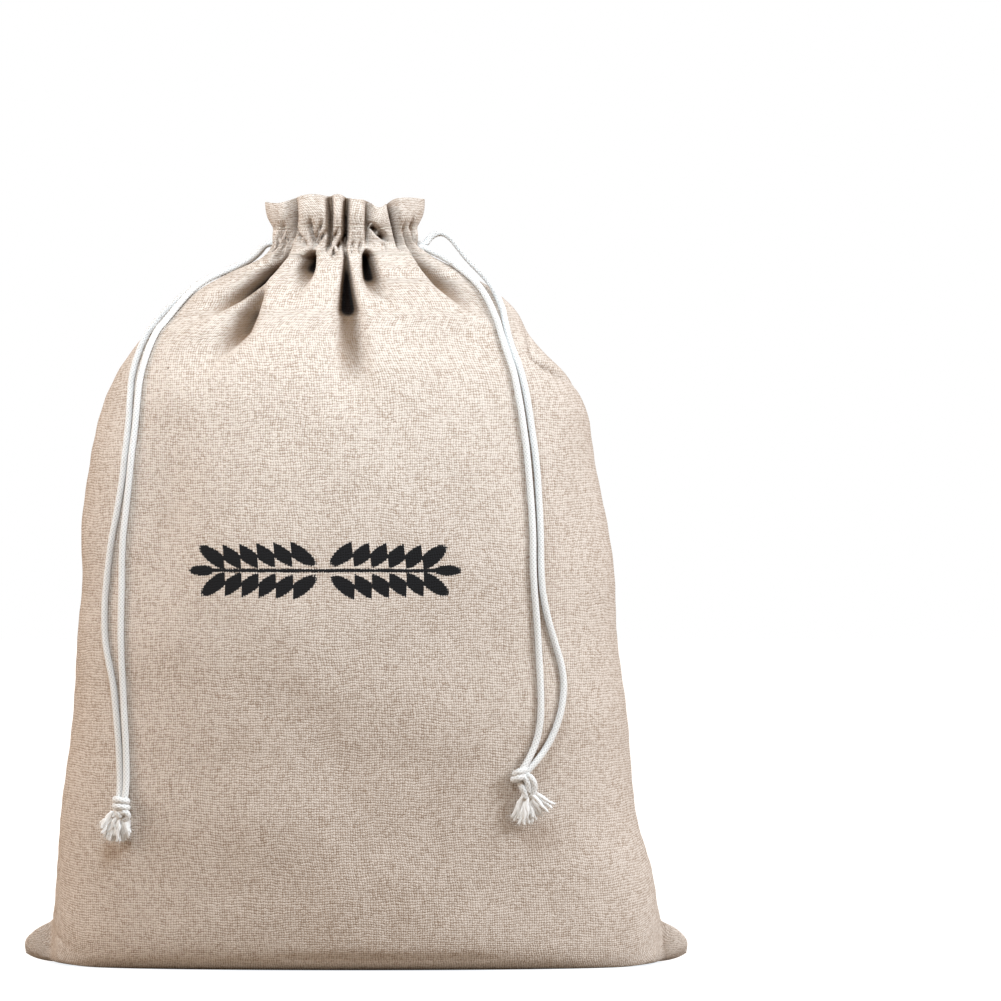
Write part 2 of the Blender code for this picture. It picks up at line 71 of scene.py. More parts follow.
# Cross-sections of the filled bag, listed along the cloth from the bottom seam to the rim.
SECTION_NAMES = ("along", "middle", "seam", "left", "right", "front", "back", "fullness")
SECTIONS = np.array((
    (0.0,     0.0,   4.5, -152.0, 152.0,  0.0,   0.0, 2.3),
    (14.0,    0.0,   8.5, -152.5, 152.5, 14.0,  14.0, 2.4),
    (28.0,    0.0,  13.0, -150.8, 151.0, 28.0,  28.0, 2.5),
    (42.0,    0.0,  17.0, -146.0, 146.5, 42.0,  43.0, 2.6),
    (56.0,    3.5,  19.5, -141.0, 141.2, 51.5,  53.0, 2.6),
    (68.0,   12.0,  24.0, -139.2, 139.4, 56.0,  58.0, 2.6),
    (92.0,   35.0,  42.0, -137.8, 136.5, 59.0,  61.0, 2.5),
    (125.0,  68.0,  70.0, -135.8, 128.8, 62.0,  64.0, 2.4),
    (171.0, 113.0, 113.0, -130.6, 125.0, 65.0,  66.0, 2.3),
    (213.0, 155.0, 155.0, -127.8, 119.8, 66.0,  66.4, 2.2),
    (236.0, 178.0, 178.0, -125.6, 119.0, 65.5,  66.0, 2.2),
    (256.0, 198.0, 198.0, -126.5, 116.5, 64.5,  64.0, 2.2),
    (288.0, 230.0, 230.0, -122.8, 110.2, 60.5,  59.0, 2.2),
    (310.0, 252.0, 252.0, -118.3, 107.0, 56.0,  54.0, 2.2),
    (325.0, 267.0, 267.0, -112.5,  99.4, 52.0,  49.0, 2.2),
    (346.0, 288.0, 288.0,  -98.3,  80.5, 42.5,  40.0, 2.1),
    (357.0, 299.0, 299.0,  -84.8,  74.5, 36.5,  34.0, 2.1),
    (367.0, 309.0, 309.0,  -74.0,  64.5, 30.0,  28.0, 2.0),
    (375.0, 317.0, 317.0,  -59.5,  51.5, 24.5,  22.5, 2.0),
    (383.0, 325.0, 325.0,  -43.5,  36.0, 19.0,  17.5, 2.0),
    (389.0, 331.0, 331.0,  -39.0,  29.0, 16.0,  15.0, 2.0),
    (395.0, 337.0, 337.0,  -39.0,  29.0, 17.4,  16.0, 2.0),
    (402.0, 344.0, 344.0,  -41.5,  31.5, 19.2,  18.0, 2.0),
    (410.0, 351.0, 351.0,  -42.7,  32.4, 17.4,  17.0, 2.0),
))

# Rows of the mesh between two distances along the cloth, closest where it is folded or gathered.
MESH_STRETCHES = (
    # from,   to, rows
    (0.0,    42.0, 12),
    (42.0,   68.0, 16),
    (68.0,  288.0, 58),
    (288.0, 346.0, 28),
    (346.0, 375.0, 22),
    (375.0, 410.0, 46),
)

# Folds pressed into each panel, by their stations from the neck down. x and z: where the fold is,
# wide: half its width, deep: how far it is pressed in. lean: above 0 where its left side slopes
# more gently than its right, below 0 where the right side does. wall: how steep its sides are.
FRONT_FOLDS = (
    # lean, wall, ((x, z, wide, deep), ...)
    # Valleys between the puffs of the frill
    (0.0, 1.7, ((-29.6, 353, 2.6, 5.0), (-29.6, 342, 2.4, 8.0), (-30.0, 334, 1.8, 6.0),
                (-33, 326, 1.8, 0.0))),
    (0.0, 2.0, ((-12.7, 353, 1.6, 8.0), (-12.2, 342, 1.4, 11.0), (-12.2, 333, 1.3, 8.0),
                (-14, 325, 1.6, 0.0))),
    (0.2, 2.0, ((-4.2, 353, 1.4, 9.0), (-4.5, 342, 1.3, 13.0), (-4.8, 333, 1.3, 11.0),
                (-5.2, 326, 1.2, 3.0), (-5.0, 322, 1.2, 0.0))),
    (0.0, 1.8, ((5.6, 353, 1.6, 6.0), (5.6, 342, 1.4, 7.5), (5.2, 333, 1.2, 5.0), (5.0, 327, 1.4, 0.0))),
    (-0.3, 2.2, ((15.4, 353, 1.8, 7.0), (16.8, 344, 1.7, 13.5), (18.8, 334, 1.6, 14.0),
                 (20.6, 326, 1.4, 0.0))),
    # Slanting slit in the low puff, and the short creases at the foot of the big one
    (0.3, 2.4, ((7.4, 341.5, 0.9, 0.0), (9.0, 338.6, 1.7, 12.0), (12.4, 334.4, 1.8, 13.5),
                (14.4, 331, 0.9, 0.0))),
    (0.0, 1.7, ((-21.4, 342, 0.8, 0.0), (-21.2, 338, 1.0, 5.0), (-20.2, 333, 1.0, 4.5),
                (-19.8, 329, 1.0, 0.0))),
    (0.0, 1.7, ((-15.4, 341, 0.8, 0.0), (-16.6, 338, 1.0, 3.4), (-18.6, 333, 1.0, 4.0),
                (-21.4, 328, 1.0, 0.0))),
    # Puckers where the cord draws the hem together
    (0.5, 1.6, ((-28.6, 339, 0.9, 0.0), (-26.6, 335, 1.1, 4.0), (-23.6, 331, 1.1, 4.0),
                (-22, 328, 1.0, 0.0))),
    (0.0, 1.6, ((-13.0, 338, 0.9, 0.0), (-15.0, 334.6, 1.1, 4.0), (-18.4, 330, 1.1, 4.0),
                (-22, 326, 1.2, 0.0))),
    (-0.4, 1.6, ((-8.0, 338, 0.9, 0.0), (-9.6, 334.6, 1.1, 4.0), (-13.4, 329, 1.1, 4.0),
                 (-17, 325, 1.0, 0.0))),
    (-0.4, 1.8, ((-4.2, 337, 0.9, 0.0), (-6.4, 333, 1.3, 6.0), (-10.2, 327, 1.3, 6.0),
                 (-12.4, 322, 1.2, 0.0))),
    (0.0, 1.6, ((-1.2, 332, 0.8, 0.0), (-1.8, 328.8, 1.0, 3.4), (-2.4, 324, 0.9, 0.0))),
    (0.0, 1.6, ((2.0, 332, 0.8, 0.0), (1.6, 328.6, 1.0, 3.4), (1.0, 324, 0.9, 0.0))),
    (0.0, 1.6, ((-33.4, 342, 1.0, 0.0), (-34.4, 336, 1.2, 4.0), (-37.6, 329, 1.2, 3.6),
                (-41, 325, 1.2, 0.0))),
    (0.0, 1.6, ((-31.0, 338, 1.0, 0.0), (-33.2, 332, 1.1, 3.6), (-36.4, 326, 1.2, 3.6),
                (-40, 321, 1.4, 0.0))),
    (0.0, 1.6, ((22.6, 342, 1.0, 0.0), (22.6, 336, 1.3, 4.0), (24.8, 330, 1.3, 3.6), (28, 325, 1.4, 0.0))),
    (0.0, 1.6, ((26.6, 344, 1.0, 0.0), (26.0, 338, 1.3, 4.0), (27.4, 332, 1.2, 3.2), (31, 327, 1.4, 0.0))),
    (0.0, 1.6, ((12.4, 332, 1.0, 0.0), (12.6, 329, 1.1, 2.2), (14.0, 325, 1.2, 0.0))),
    # Slit down the middle, deep enough to be painted black as shade down to a shelf, and then a soft trough
    (0.0, 2.8, ((-4.7, 327.5, 0.8, 0.0), (-4.6, 323, 1.1, 9.0), (-4.4, 315, 2.1, 14.0),
                (-4.1, 306, 3.5, 16.5), (-3.7, 299.5, 4.7, 16.5), (-3.5, 296.0, 5.2, 9.6),
                (-3.2, 291, 6.0, 8.6), (-2.8, 283, 7.0, 7.8), (-2.6, 274, 8.0, 6.2),
                (-2.6, 263, 9.5, 2.6), (-2.7, 250, 12.0, 0.0))),
    # Pockets either side of it
    (0.75, 2.0, ((-19.0, 328, 1.2, 0.0), (-19.6, 324, 3.3, 13.0), (-20.2, 319, 4.2, 16.0),
                 (-21.0, 315.6, 4.6, 9.0), (-23.4, 311, 5.5, 4.5), (-29, 302, 7.0, 0.0))),
    (-0.2, 2.6, ((4.6, 328, 0.9, 0.0), (4.9, 325, 2.3, 13.0), (5.5, 319, 3.2, 15.5), (6.2, 314.4, 3.7, 15.0),
                 (6.8, 311.4, 4.2, 8.2), (8.4, 306, 5.2, 4.6), (13, 298, 8.0, 0.0))),
    # Two long creases down the left shoulder and one down the right
    (0.6, 1.6, ((-29.0, 331, 1.2, 0.0), (-33.6, 324, 2.8, 9.5), (-40.0, 317.4, 4.4, 14.5),
                (-45.0, 312.6, 5.6, 13.5), (-57.3, 303.8, 7.0, 9.5), (-66.4, 298, 8.0, 4.5), (-80, 292, 9.0, 0.0))),
    (0.6, 1.6, ((-41.6, 314, 1.8, 0.0), (-44.6, 306, 4.4, 8.5), (-48.2, 297, 6.6, 12.0),
                (-51.4, 289, 7.8, 11.0), (-56.4, 283.4, 8.8, 7.0), (-66, 275, 10.0, 2.5), (-76, 266, 11.0, 0.0))),
    (-0.6, 1.6, ((22.4, 332, 1.2, 0.0), (27.6, 325, 2.8, 7.5), (33.0, 318, 4.6, 11.0),
                 (39.4, 310.8, 6.2, 10.5),
                 (49.2, 302.6, 7.5, 6.0), (60, 293, 9.0, 0.0))),
    # Tuck on the right shoulder
    (-0.75, 1.6, ((77.0, 293, 1.4, 0.0), (78.6, 286, 2.4, 4.0), (80.6, 277, 3.2, 6.5),
                  (85.4, 273.4, 3.4, 8.0),
                  (92.4, 269.6, 3.2, 8.0), (98.0, 266.4, 2.6, 6.0), (103.0, 263.4, 1.8, 0.0))),
    # Broad hollows of the filled body
    (0.0, 1.6, ((-86, 258, 14.0, 0.0), (-88, 205, 22.0, 4.5), (-92, 150, 26.0, 0.0))),
    (0.0, 1.6, ((-30, 134, 20.0, 0.0), (-12, 96, 30.0, 3.0), (8, 40, 30.0, 0.0))),
    (0.0, 1.6, ((100, 240, 10.0, 0.0), (102, 196, 14.0, 2.5), (106, 140, 16.0, 0.0))),
)
BACK_FOLDS = (
    # lean, wall, ((x, z, wide, deep), ...)
    (0.0, 1.7, ((-27, 353, 2.2, 6.0), (-27, 342, 1.8, 8.0), (-28, 332, 1.5, 7.0), (-34, 318, 2.4, 0.0))),
    (0.0, 1.7, ((-14, 353, 2.0, 7.0), (-14.6, 342, 1.7, 9.0), (-15, 332, 1.4, 7.0), (-18, 318, 2.4, 0.0))),
    (0.0, 1.7, ((-2, 353, 1.8, 7.0), (-2.6, 342, 1.6, 9.0), (-3, 332, 1.4, 7.5), (-3, 320, 2.2, 0.0))),
    (0.0, 1.7, ((11, 353, 2.0, 7.0), (10.6, 342, 1.7, 9.0), (10, 332, 1.5, 7.0), (12, 318, 2.4, 0.0))),
    (0.0, 1.7, ((21, 353, 2.0, 6.0), (20.6, 342, 1.8, 8.0), (20, 332, 1.5, 6.0), (24, 321, 2.4, 0.0))),
    (0.3, 1.6, ((-21, 341, 0.9, 0.0), (-21, 335, 1.1, 3.6), (-23, 329, 1.1, 3.4), (-26, 324, 1.4, 0.0))),
    (0.0, 1.6, ((-8, 341, 0.9, 0.0), (-8.4, 335, 1.1, 3.6), (-9, 329, 1.1, 3.4), (-11, 324, 1.4, 0.0))),
    (0.0, 1.6, ((4, 341, 0.9, 0.0), (4, 335, 1.1, 3.4), (4.6, 329, 1.1, 3.4), (6, 324, 1.4, 0.0))),
    (-0.3, 1.6, ((15.6, 341, 0.9, 0.0), (15.4, 335, 1.1, 3.4), (17, 329, 1.1, 3.4), (20, 324, 1.4, 0.0))),
    (0.0, 1.6, ((-33.6, 341, 0.9, 0.0), (-33.6, 335, 1.2, 3.4), (-36, 329, 1.2, 3.4), (-40, 324, 1.4, 0.0))),
    (0.3, 1.8, ((-8, 329, 1.4, 0.0), (-10, 318, 2.8, 7.0), (-12, 304, 4.6, 11.0), (-14, 286, 8.0, 4.5),
                (-16, 256, 13.0, 0.0))),
    (-0.3, 1.8, ((7, 328, 1.4, 0.0), (10, 318, 2.8, 7.0), (15, 306, 4.6, 10.5), (21, 288, 8.0, 4.5),
                 (29, 262, 13.0, 0.0))),
    (0.5, 1.6, ((-23, 328, 1.4, 0.0), (-31, 318, 3.0, 6.5), (-42, 308, 5.0, 9.5), (-54, 294, 8.0, 5.0),
                (-70, 274, 12.0, 0.0))),
    (-0.5, 1.6, ((23, 328, 1.4, 0.0), (30, 318, 3.0, 6.5), (40, 308, 5.0, 8.5), (51, 295, 8.0, 4.5),
                 (66, 278, 12.0, 0.0))),
    (0.0, 1.6, ((40, 200, 20.0, 0.0), (20, 140, 30.0, 3.5), (0, 60, 30.0, 0.0))),
)

# Puffs of the frill: the middle of each, half its width and how far its top stands above the rim
RIM_PUFFS = (
    # x, half_width, lift
    (-36.0,  7.0, -2.0),
    (-20.6,  9.0,  1.9),
    (-8.0,   3.6,  1.6),
    (0.9,    4.6, -0.4),
    (10.6,   4.6, -4.2),
    (24.5,   8.0,  0.6),
)

# The seam turns the edges in and puckers them, and the cords pass out through a slit in it
SEAM_TURN = 1.5
SEAM_TURN_REACH = 1.7
PUCKER_REACH = 6.0
PUCKER_LENGTH = 14.0
PUCKER_DEPTH = 0.22
SLIT_LOW, SLIT_HIGH = 379.0, 401.0
SLIT_OPENING = 3.9
SLIT_REACH = 5.0

# Slow unevenness of the filled cloth: wavelength, height
LUMPS = ((72.0, 2.1), (27.0, 0.75), (10.0, 0.2))
STITCH_ROWS = (396.0, 383.5)
STITCH_PULL = 0.35
STITCH_PULL_REACH = 1.3
BASE_CREASE_ALONG, BASE_CREASE_REACH, BASE_CREASE_DEPTH = 60.0, 2.6, 0.9


def smooth_step(low, high, value):
    """0 below low, 1 above high, and a soft ramp between them."""
    t = np.clip((value - low) / (high - low), 0.0, 1.0)
    return t * t * (3.0 - 2.0 * t)


def smooth_column(xs, ys, at):
    """Values of a smooth curve without overshoot through the points (xs, ys)."""
    slopes = np.diff(ys) / np.diff(xs)
    before, after = slopes[:-1], slopes[1:]
    agree = before * after > 0.0
    middle = np.where(agree, 2.0 * before * after / np.where(agree, before + after, 1.0), 0.0)
    tangents = np.concatenate((slopes[:1], middle, slopes[-1:]))
    i = np.clip(np.searchsorted(xs, at, side="right") - 1, 0, len(xs) - 2)
    width = xs[i + 1] - xs[i]
    t = np.clip((at - xs[i]) / width, 0.0, 1.0)
    return ((2 * t**3 - 3 * t**2 + 1) * ys[i] + (t**3 - 2 * t**2 + t) * width * tangents[i]
            + (-2 * t**3 + 3 * t**2) * ys[i + 1] + (t**3 - t**2) * width * tangents[i + 1])


def fold_push(folds, angle, z, centre, half_width, depth):
    """How far the folds press the cloth in, at each angle round its section and each height."""
    push = np.zeros(np.broadcast(angle, z).shape)
    for lean, wall, stations in folds:
        xs, heights, widths, depths = np.array(stations[::-1], dtype=float).T
        line = np.interp(z, heights, xs)
        wide = np.interp(z, heights, widths)
        deep = np.interp(z, heights, depths)
        line_angle = np.arccos(np.clip((centre - line) / half_width, -1.0, 1.0))
        stretch = np.hypot(half_width * np.sin(line_angle), depth * np.cos(line_angle))
        off = (angle - line_angle) * stretch
        wide = wide * np.where(off < 0.0, 1.0 + lean, 1.0 - lean)
        push += deep * np.exp(-np.abs(off / wide) ** wall)
    return push


def cloth_points(side, across, along):
    """Points of the cloth's outer face in millimetres, a row for each along, and the depth of fold
    there. across runs 0 to 1 from the left seam to the right, along from the bottom seam up."""
    along = np.asarray(along, dtype=float)[:, None]
    row = {name: smooth_column(SECTIONS[:, 0], SECTIONS[:, k], along)
           for k, name in enumerate(SECTION_NAMES)}
    centre = (row["left"] + row["right"]) / 2
    half_width = (row["right"] - row["left"]) / 2
    depth = np.maximum(row[side], 0.01)
    angle = np.pi * np.asarray(across, dtype=float)[None, :]
    cosine, sine = np.cos(angle), np.clip(np.sin(angle), 0.0, 1.0)
    x = centre - half_width * cosine
    out = depth * sine ** (2.0 / row["fullness"])
    z = row["middle"] + (row["seam"] - row["middle"]) * np.abs(cosine) ** CORNER_RISE_POWER

    # The sewn corner sticks out as a small flat ear of two layers
    ear_tip = np.where(x < 0.0, np.abs(row["left"]), row["right"])
    reach = (np.abs(x) - EAR_ROOT) / np.maximum(ear_tip - EAR_ROOT, EAR_LEAST)
    lobe = EAR_BULGE * np.sin(np.pi * np.minimum(along / EAR_ALONG, 1.0))
    lobe = lobe * np.sqrt(np.maximum(0.0, 1.0 - np.maximum(reach, 0.0) ** 2))
    ear = smooth_step(EAR_ROOT - EAR_BLEND, EAR_ROOT + EAR_BLEND / 2, np.abs(x))
    ear = ear * (ear_tip > EAR_ROOT + EAR_LEAST)
    out = out + (np.minimum(lobe, out + EAR_BULGE) - out) * ear

    # Folds are pressed in square to the section, and slow lumps stand out of it
    folds = FRONT_FOLDS if side == "front" else BACK_FOLDS
    push = fold_push(folds, angle, z, centre, half_width, depth) * np.minimum(1.0, sine / SEAM_FADE)
    from_seam = depth * np.minimum(angle, np.pi - angle)
    calm = smooth_step(0.0, 14.0, from_seam) * smooth_step(44.0, 74.0, along)
    lumps = np.zeros_like(push)
    for wave, height in LUMPS:
        shift = 0.0 if side == "front" else 31.0
        for i, j in np.ndindex(lumps.shape):
            lumps[i, j] += height * noise.noise((x[i, j] / wave, shift, z[i, j] / wave))
    gathered = smooth_step(300.0, 325.0, z)
    lumps = lumps * calm * (1.0 - 0.7 * gathered)

    # The hem's two rows of stitches pull it in a little, and a crease runs just above the base
    for stitched in STITCH_ROWS:
        lumps = lumps - STITCH_PULL * np.exp(-((along - stitched) / STITCH_PULL_REACH) ** 2)
    crease = np.exp(-((along - BASE_CREASE_ALONG) / BASE_CREASE_REACH) ** 2)
    lumps = lumps - BASE_CREASE_DEPTH * crease * smooth_step(-0.4, 0.5, np.sin(x / 31.0 + 1.1)) * (
        1.0 - ear)

    # The seam turns both edges in and puckers them
    turn = SEAM_TURN * np.exp(-(from_seam / SEAM_TURN_REACH) ** 2)
    pucker = PUCKER_DEPTH * np.exp(-from_seam / PUCKER_REACH) * (
        1.0 + np.sin(2.0 * np.pi * along / PUCKER_LENGTH + 1.3 * np.sin(along / 17.0)))
    turn = (turn + pucker) * smooth_step(20.0, 40.0, along)

    length = np.hypot(depth * cosine, half_width * sine)
    normal_x, normal_out = -depth * cosine / length, half_width * sine / length
    x = x - (push - lumps) * normal_x + turn * np.sign(cosine)
    out = out - (push - lumps) * normal_out

    # The rim rises and dips from puff to puff
    frill = smooth_step(RIM_HEIGHT - FRILL_HEIGHT, RIM_HEIGHT, z)
    for puff_x, puff_half_width, lift in RIM_PUFFS:
        z = z + frill * lift * np.exp(-((x - puff_x) / puff_half_width) ** 2)

    # The slit in the side seam that the cords come out of
    slit = np.sin(np.pi * np.clip((along - SLIT_LOW) / (SLIT_HIGH - SLIT_LOW), 0.0, 1.0)) ** 2
    out = np.maximum(out, 0.0) + SLIT_OPENING * slit * np.exp(-(from_seam / SLIT_REACH) ** 2)

    y = out + SEAM_GAP / 2
    points = np.stack((x, -y if side == "front" else y, np.maximum(z, 0.0)), axis=-1)
    return points, push


def shaped_grid(name, points, flat):
    """A grid of faces laid over an array of points, with its flat places as the UV map."""
    rows, columns = points.shape[0] - 1, points.shape[1] - 1
    bpy.ops.mesh.primitive_grid_add(x_subdivisions=columns, y_subdivisions=rows, size=1.0)
    made = bpy.context.object
    made.name = made.data.name = name
    corner = np.empty(len(made.data.vertices) * 3)
    made.data.vertices.foreach_get("co", corner)
    corner = corner.reshape(-1, 3)
    column = np.rint((corner[:, 0] + 0.5) * columns).astype(int)
    row = np.rint((corner[:, 1] + 0.5) * rows).astype(int)
    made.data.vertices.foreach_set("co", points[row, column].ravel())
    of_loop = np.empty(len(made.data.loops), dtype=int)
    made.data.loops.foreach_get("vertex_index", of_loop)
    made.data.uv_layers[0].data.foreach_set("uv", flat[row, column][of_loop].ravel())
    made.data.update()
    return made, row, column


def make_panel(side):
    """One panel: its outer face and the hem turned in at the rim, without the cloth's thickness, which thicken
    adds.
    """
    along = [MESH_STRETCHES[0][0]]
    for start, end, steps in MESH_STRETCHES:
        along += [start + (end - start) * (k + 1) / steps for k in range(steps)]
    even = np.linspace(0.0, 1.0, PANEL_COLUMNS + 1)
    across = even + MIDDLE_CROWDING * np.sin(2 * np.pi * even) / (2 * np.pi)
    points, push = cloth_points(side, across, along)
    outer = len(along)

    # The outer face's normals carry the hem inwards
    run, rise = np.gradient(points, axis=1), np.gradient(points, axis=0)
    normal = np.cross(run, rise)
    if side == "back":
        normal = -normal
    normal /= np.maximum(np.linalg.norm(normal, axis=-1, keepdims=True), 1e-9)
    hem_at = np.array((0.15, 0.5, 1.1, 2.2, 4.0, 7.0, 10.5, 14.0, 18.0, 22.0, HEM_DEPTH))
    hem_in = HEM_GAP * np.sqrt(np.clip(hem_at / 1.1, 0.0, 1.0))
    at_row = np.interp(CLOTH_LENGTH - hem_at, along, np.arange(outer))
    low = np.floor(at_row).astype(int)
    high = np.minimum(low + 1, outer - 1)
    part = (at_row - low)[:, None, None]
    hem = points[low] * (1 - part) + points[high] * part
    inward = normal[low] * (1 - part) + normal[high] * part
    hem = hem - inward * hem_in[:, None, None]
    points = np.concatenate((points, hem)) * MM
    push = np.concatenate((push, np.repeat(push[-1:], len(hem_at), axis=0)))

    steps = np.linalg.norm(np.diff(points, axis=1), axis=-1)
    width = np.concatenate((np.zeros((len(points), 1)), np.cumsum(steps, axis=1)), axis=1)
    width -= width[:, PANEL_COLUMNS // 2][:, None]
    length = np.concatenate((along, CLOTH_LENGTH + hem_at)) * MM
    flat = np.stack((width, np.broadcast_to(length[:, None], width.shape)), axis=-1)

    panel, row, column = shaped_grid(f"{side}_cloth", points, flat)
    if side == "back":
        bpy.ops.object.mode_set(mode="EDIT")
        bpy.ops.mesh.select_all(action="SELECT")
        bpy.ops.mesh.flip_normals()
        bpy.ops.object.mode_set(mode="OBJECT")
    # The depth of each fold goes with the cloth, for the painted shade in its finish.
    shade = panel.data.attributes.new("fold_depth", "FLOAT", "POINT")
    shade.data.foreach_set("value", push[row, column].astype(np.float32))
    return panel, points[:outer]


def thicken(panel):
    """Lays the cloth's thickness inwards from its outer face."""
    wall = panel.modifiers.new("cloth", "SOLIDIFY")
    wall.thickness = CLOTH_THICKNESS * MM
    wall.offset = -1.0
    bpy.context.view_layer.objects.active = panel
    bpy.ops.object.modifier_apply(modifier=wall.name)
    panel.data.shade_smooth()


front_cloth, front_face = make_panel("front")
back_cloth, back_face = make_panel("back")
for panel in (front_cloth, back_cloth):
    thicken(panel)


# Finish of the cloth
# Plain-woven canvas of flax and cotton yarn, unbleached, with slubs, dark flecks of husk, and
# matt. Threads are about 1.15 mm apart.
WARP_PITCH = 0.00112
WEFT_PITCH = 0.00120
LINEN_PALE = (0.60, 0.528, 0.470, 1.0)
LINEN_DARK = (0.29, 0.215, 0.162, 1.0)
# Painted shade for the folds: brown where they are pressed in, black in the deepest slits.
FOLD_PAINTED_SHADE = (0.150, 0.086, 0.044, 1.0)
FOLD_PAINTED_BLACK = (0.005, 0.002, 0.001, 1.0)
HUSK = (0.075, 0.045, 0.027, 1.0)


class Yarn:
    """One value of a finish, written like a number, that adds the nodes which work it out."""

    def __init__(self, tree, socket=None):
        self.tree, self.socket = tree, socket

    def node(self, kind, settings=None, sockets=None, output=0):
        """Adds a node of one kind: its settings first, then the values or links of its sockets."""
        made = self.tree.nodes.new(kind)
        for name, value in (settings or {}).items():
            if name == "stops":
                for stop, (place, colour) in zip(made.color_ramp.elements, value):
                    stop.position, stop.color = place, colour
            else:
                setattr(made, name, value)
        for key, value in (sockets or {}).items():
            if isinstance(value, Yarn):
                self.tree.links.new(value.socket, made.inputs[key])
            else:
                made.inputs[key].default_value = value
        return Yarn(self.tree, made.outputs[output])

    def maths(self, operation, *values):
        return self.node("ShaderNodeMath", {"operation": operation}, dict(enumerate(values)))

    def __add__(self, other):
        return self.maths("ADD", self, other)

    def __sub__(self, other):
        return self.maths("SUBTRACT", self, other)

    def __rsub__(self, other):
        return self.maths("SUBTRACT", other, self)

    def __mul__(self, other):
        return self.maths("MULTIPLY", self, other)

    def __truediv__(self, other):
        return self.maths("DIVIDE", self, other)

    def __mod__(self, other):
        return self.maths("FLOORED_MODULO", self, other)

    __radd__, __rmul__ = __add__, __mul__

    def whole(self):
        return self.maths("FLOOR", self)

    def size(self):
        return self.maths("ABSOLUTE", self)

    def cosine(self):
        return self.maths("COSINE", self)

    def most(self, other):
        return self.maths("MAXIMUM", self, other)

    def least(self, other):
        return self.maths("MINIMUM", self, other)

    def ramp(self, low, high):
        """0 below low, 1 above high and a soft ramp between them."""
        return self.node("ShaderNodeMapRange", {"interpolation_type": "SMOOTHSTEP"},
                         {"Value": self, "From Min": low, "From Max": high})

    def place(self, x, y, z=0.0):
        return self.node("ShaderNodeCombineXYZ", None, {"X": x, "Y": y, "Z": z})

    def cloud(self, place, scale, detail=2.0, roughness=0.5):
        """Soft noise from 0 to 1."""
        return self.node("ShaderNodeTexNoise", None, {
            "Vector": place, "Scale": scale, "Detail": detail, "Roughness": roughness})

    def mix(self, low, high):
        """The colour between two, by this value."""
        return self.node("ShaderNodeMix", {"data_type": "RGBA"},
                         {"Factor": self, "A": low, "B": high}, "Result")


def new_finish(name, roughness, sheen):
    """A matt finish: its material, its shader's inputs, and a yarn to start its values from."""
    made = bpy.data.materials.new(name)
    made.use_nodes = True
    shader = made.node_tree.nodes["Principled BSDF"]
    shader.inputs["Roughness"].default_value = roughness
    shader.inputs["Specular IOR Level"].default_value = 0.12
    shader.inputs["Sheen Weight"].default_value = sheen
    shader.inputs["Sheen Roughness"].default_value = 0.5
    return made, shader.inputs, Yarn(made.node_tree)


def feed(socket, value):
    """Joins a value to one of the shader's sockets."""
    value.tree.links.new(value.socket, socket)


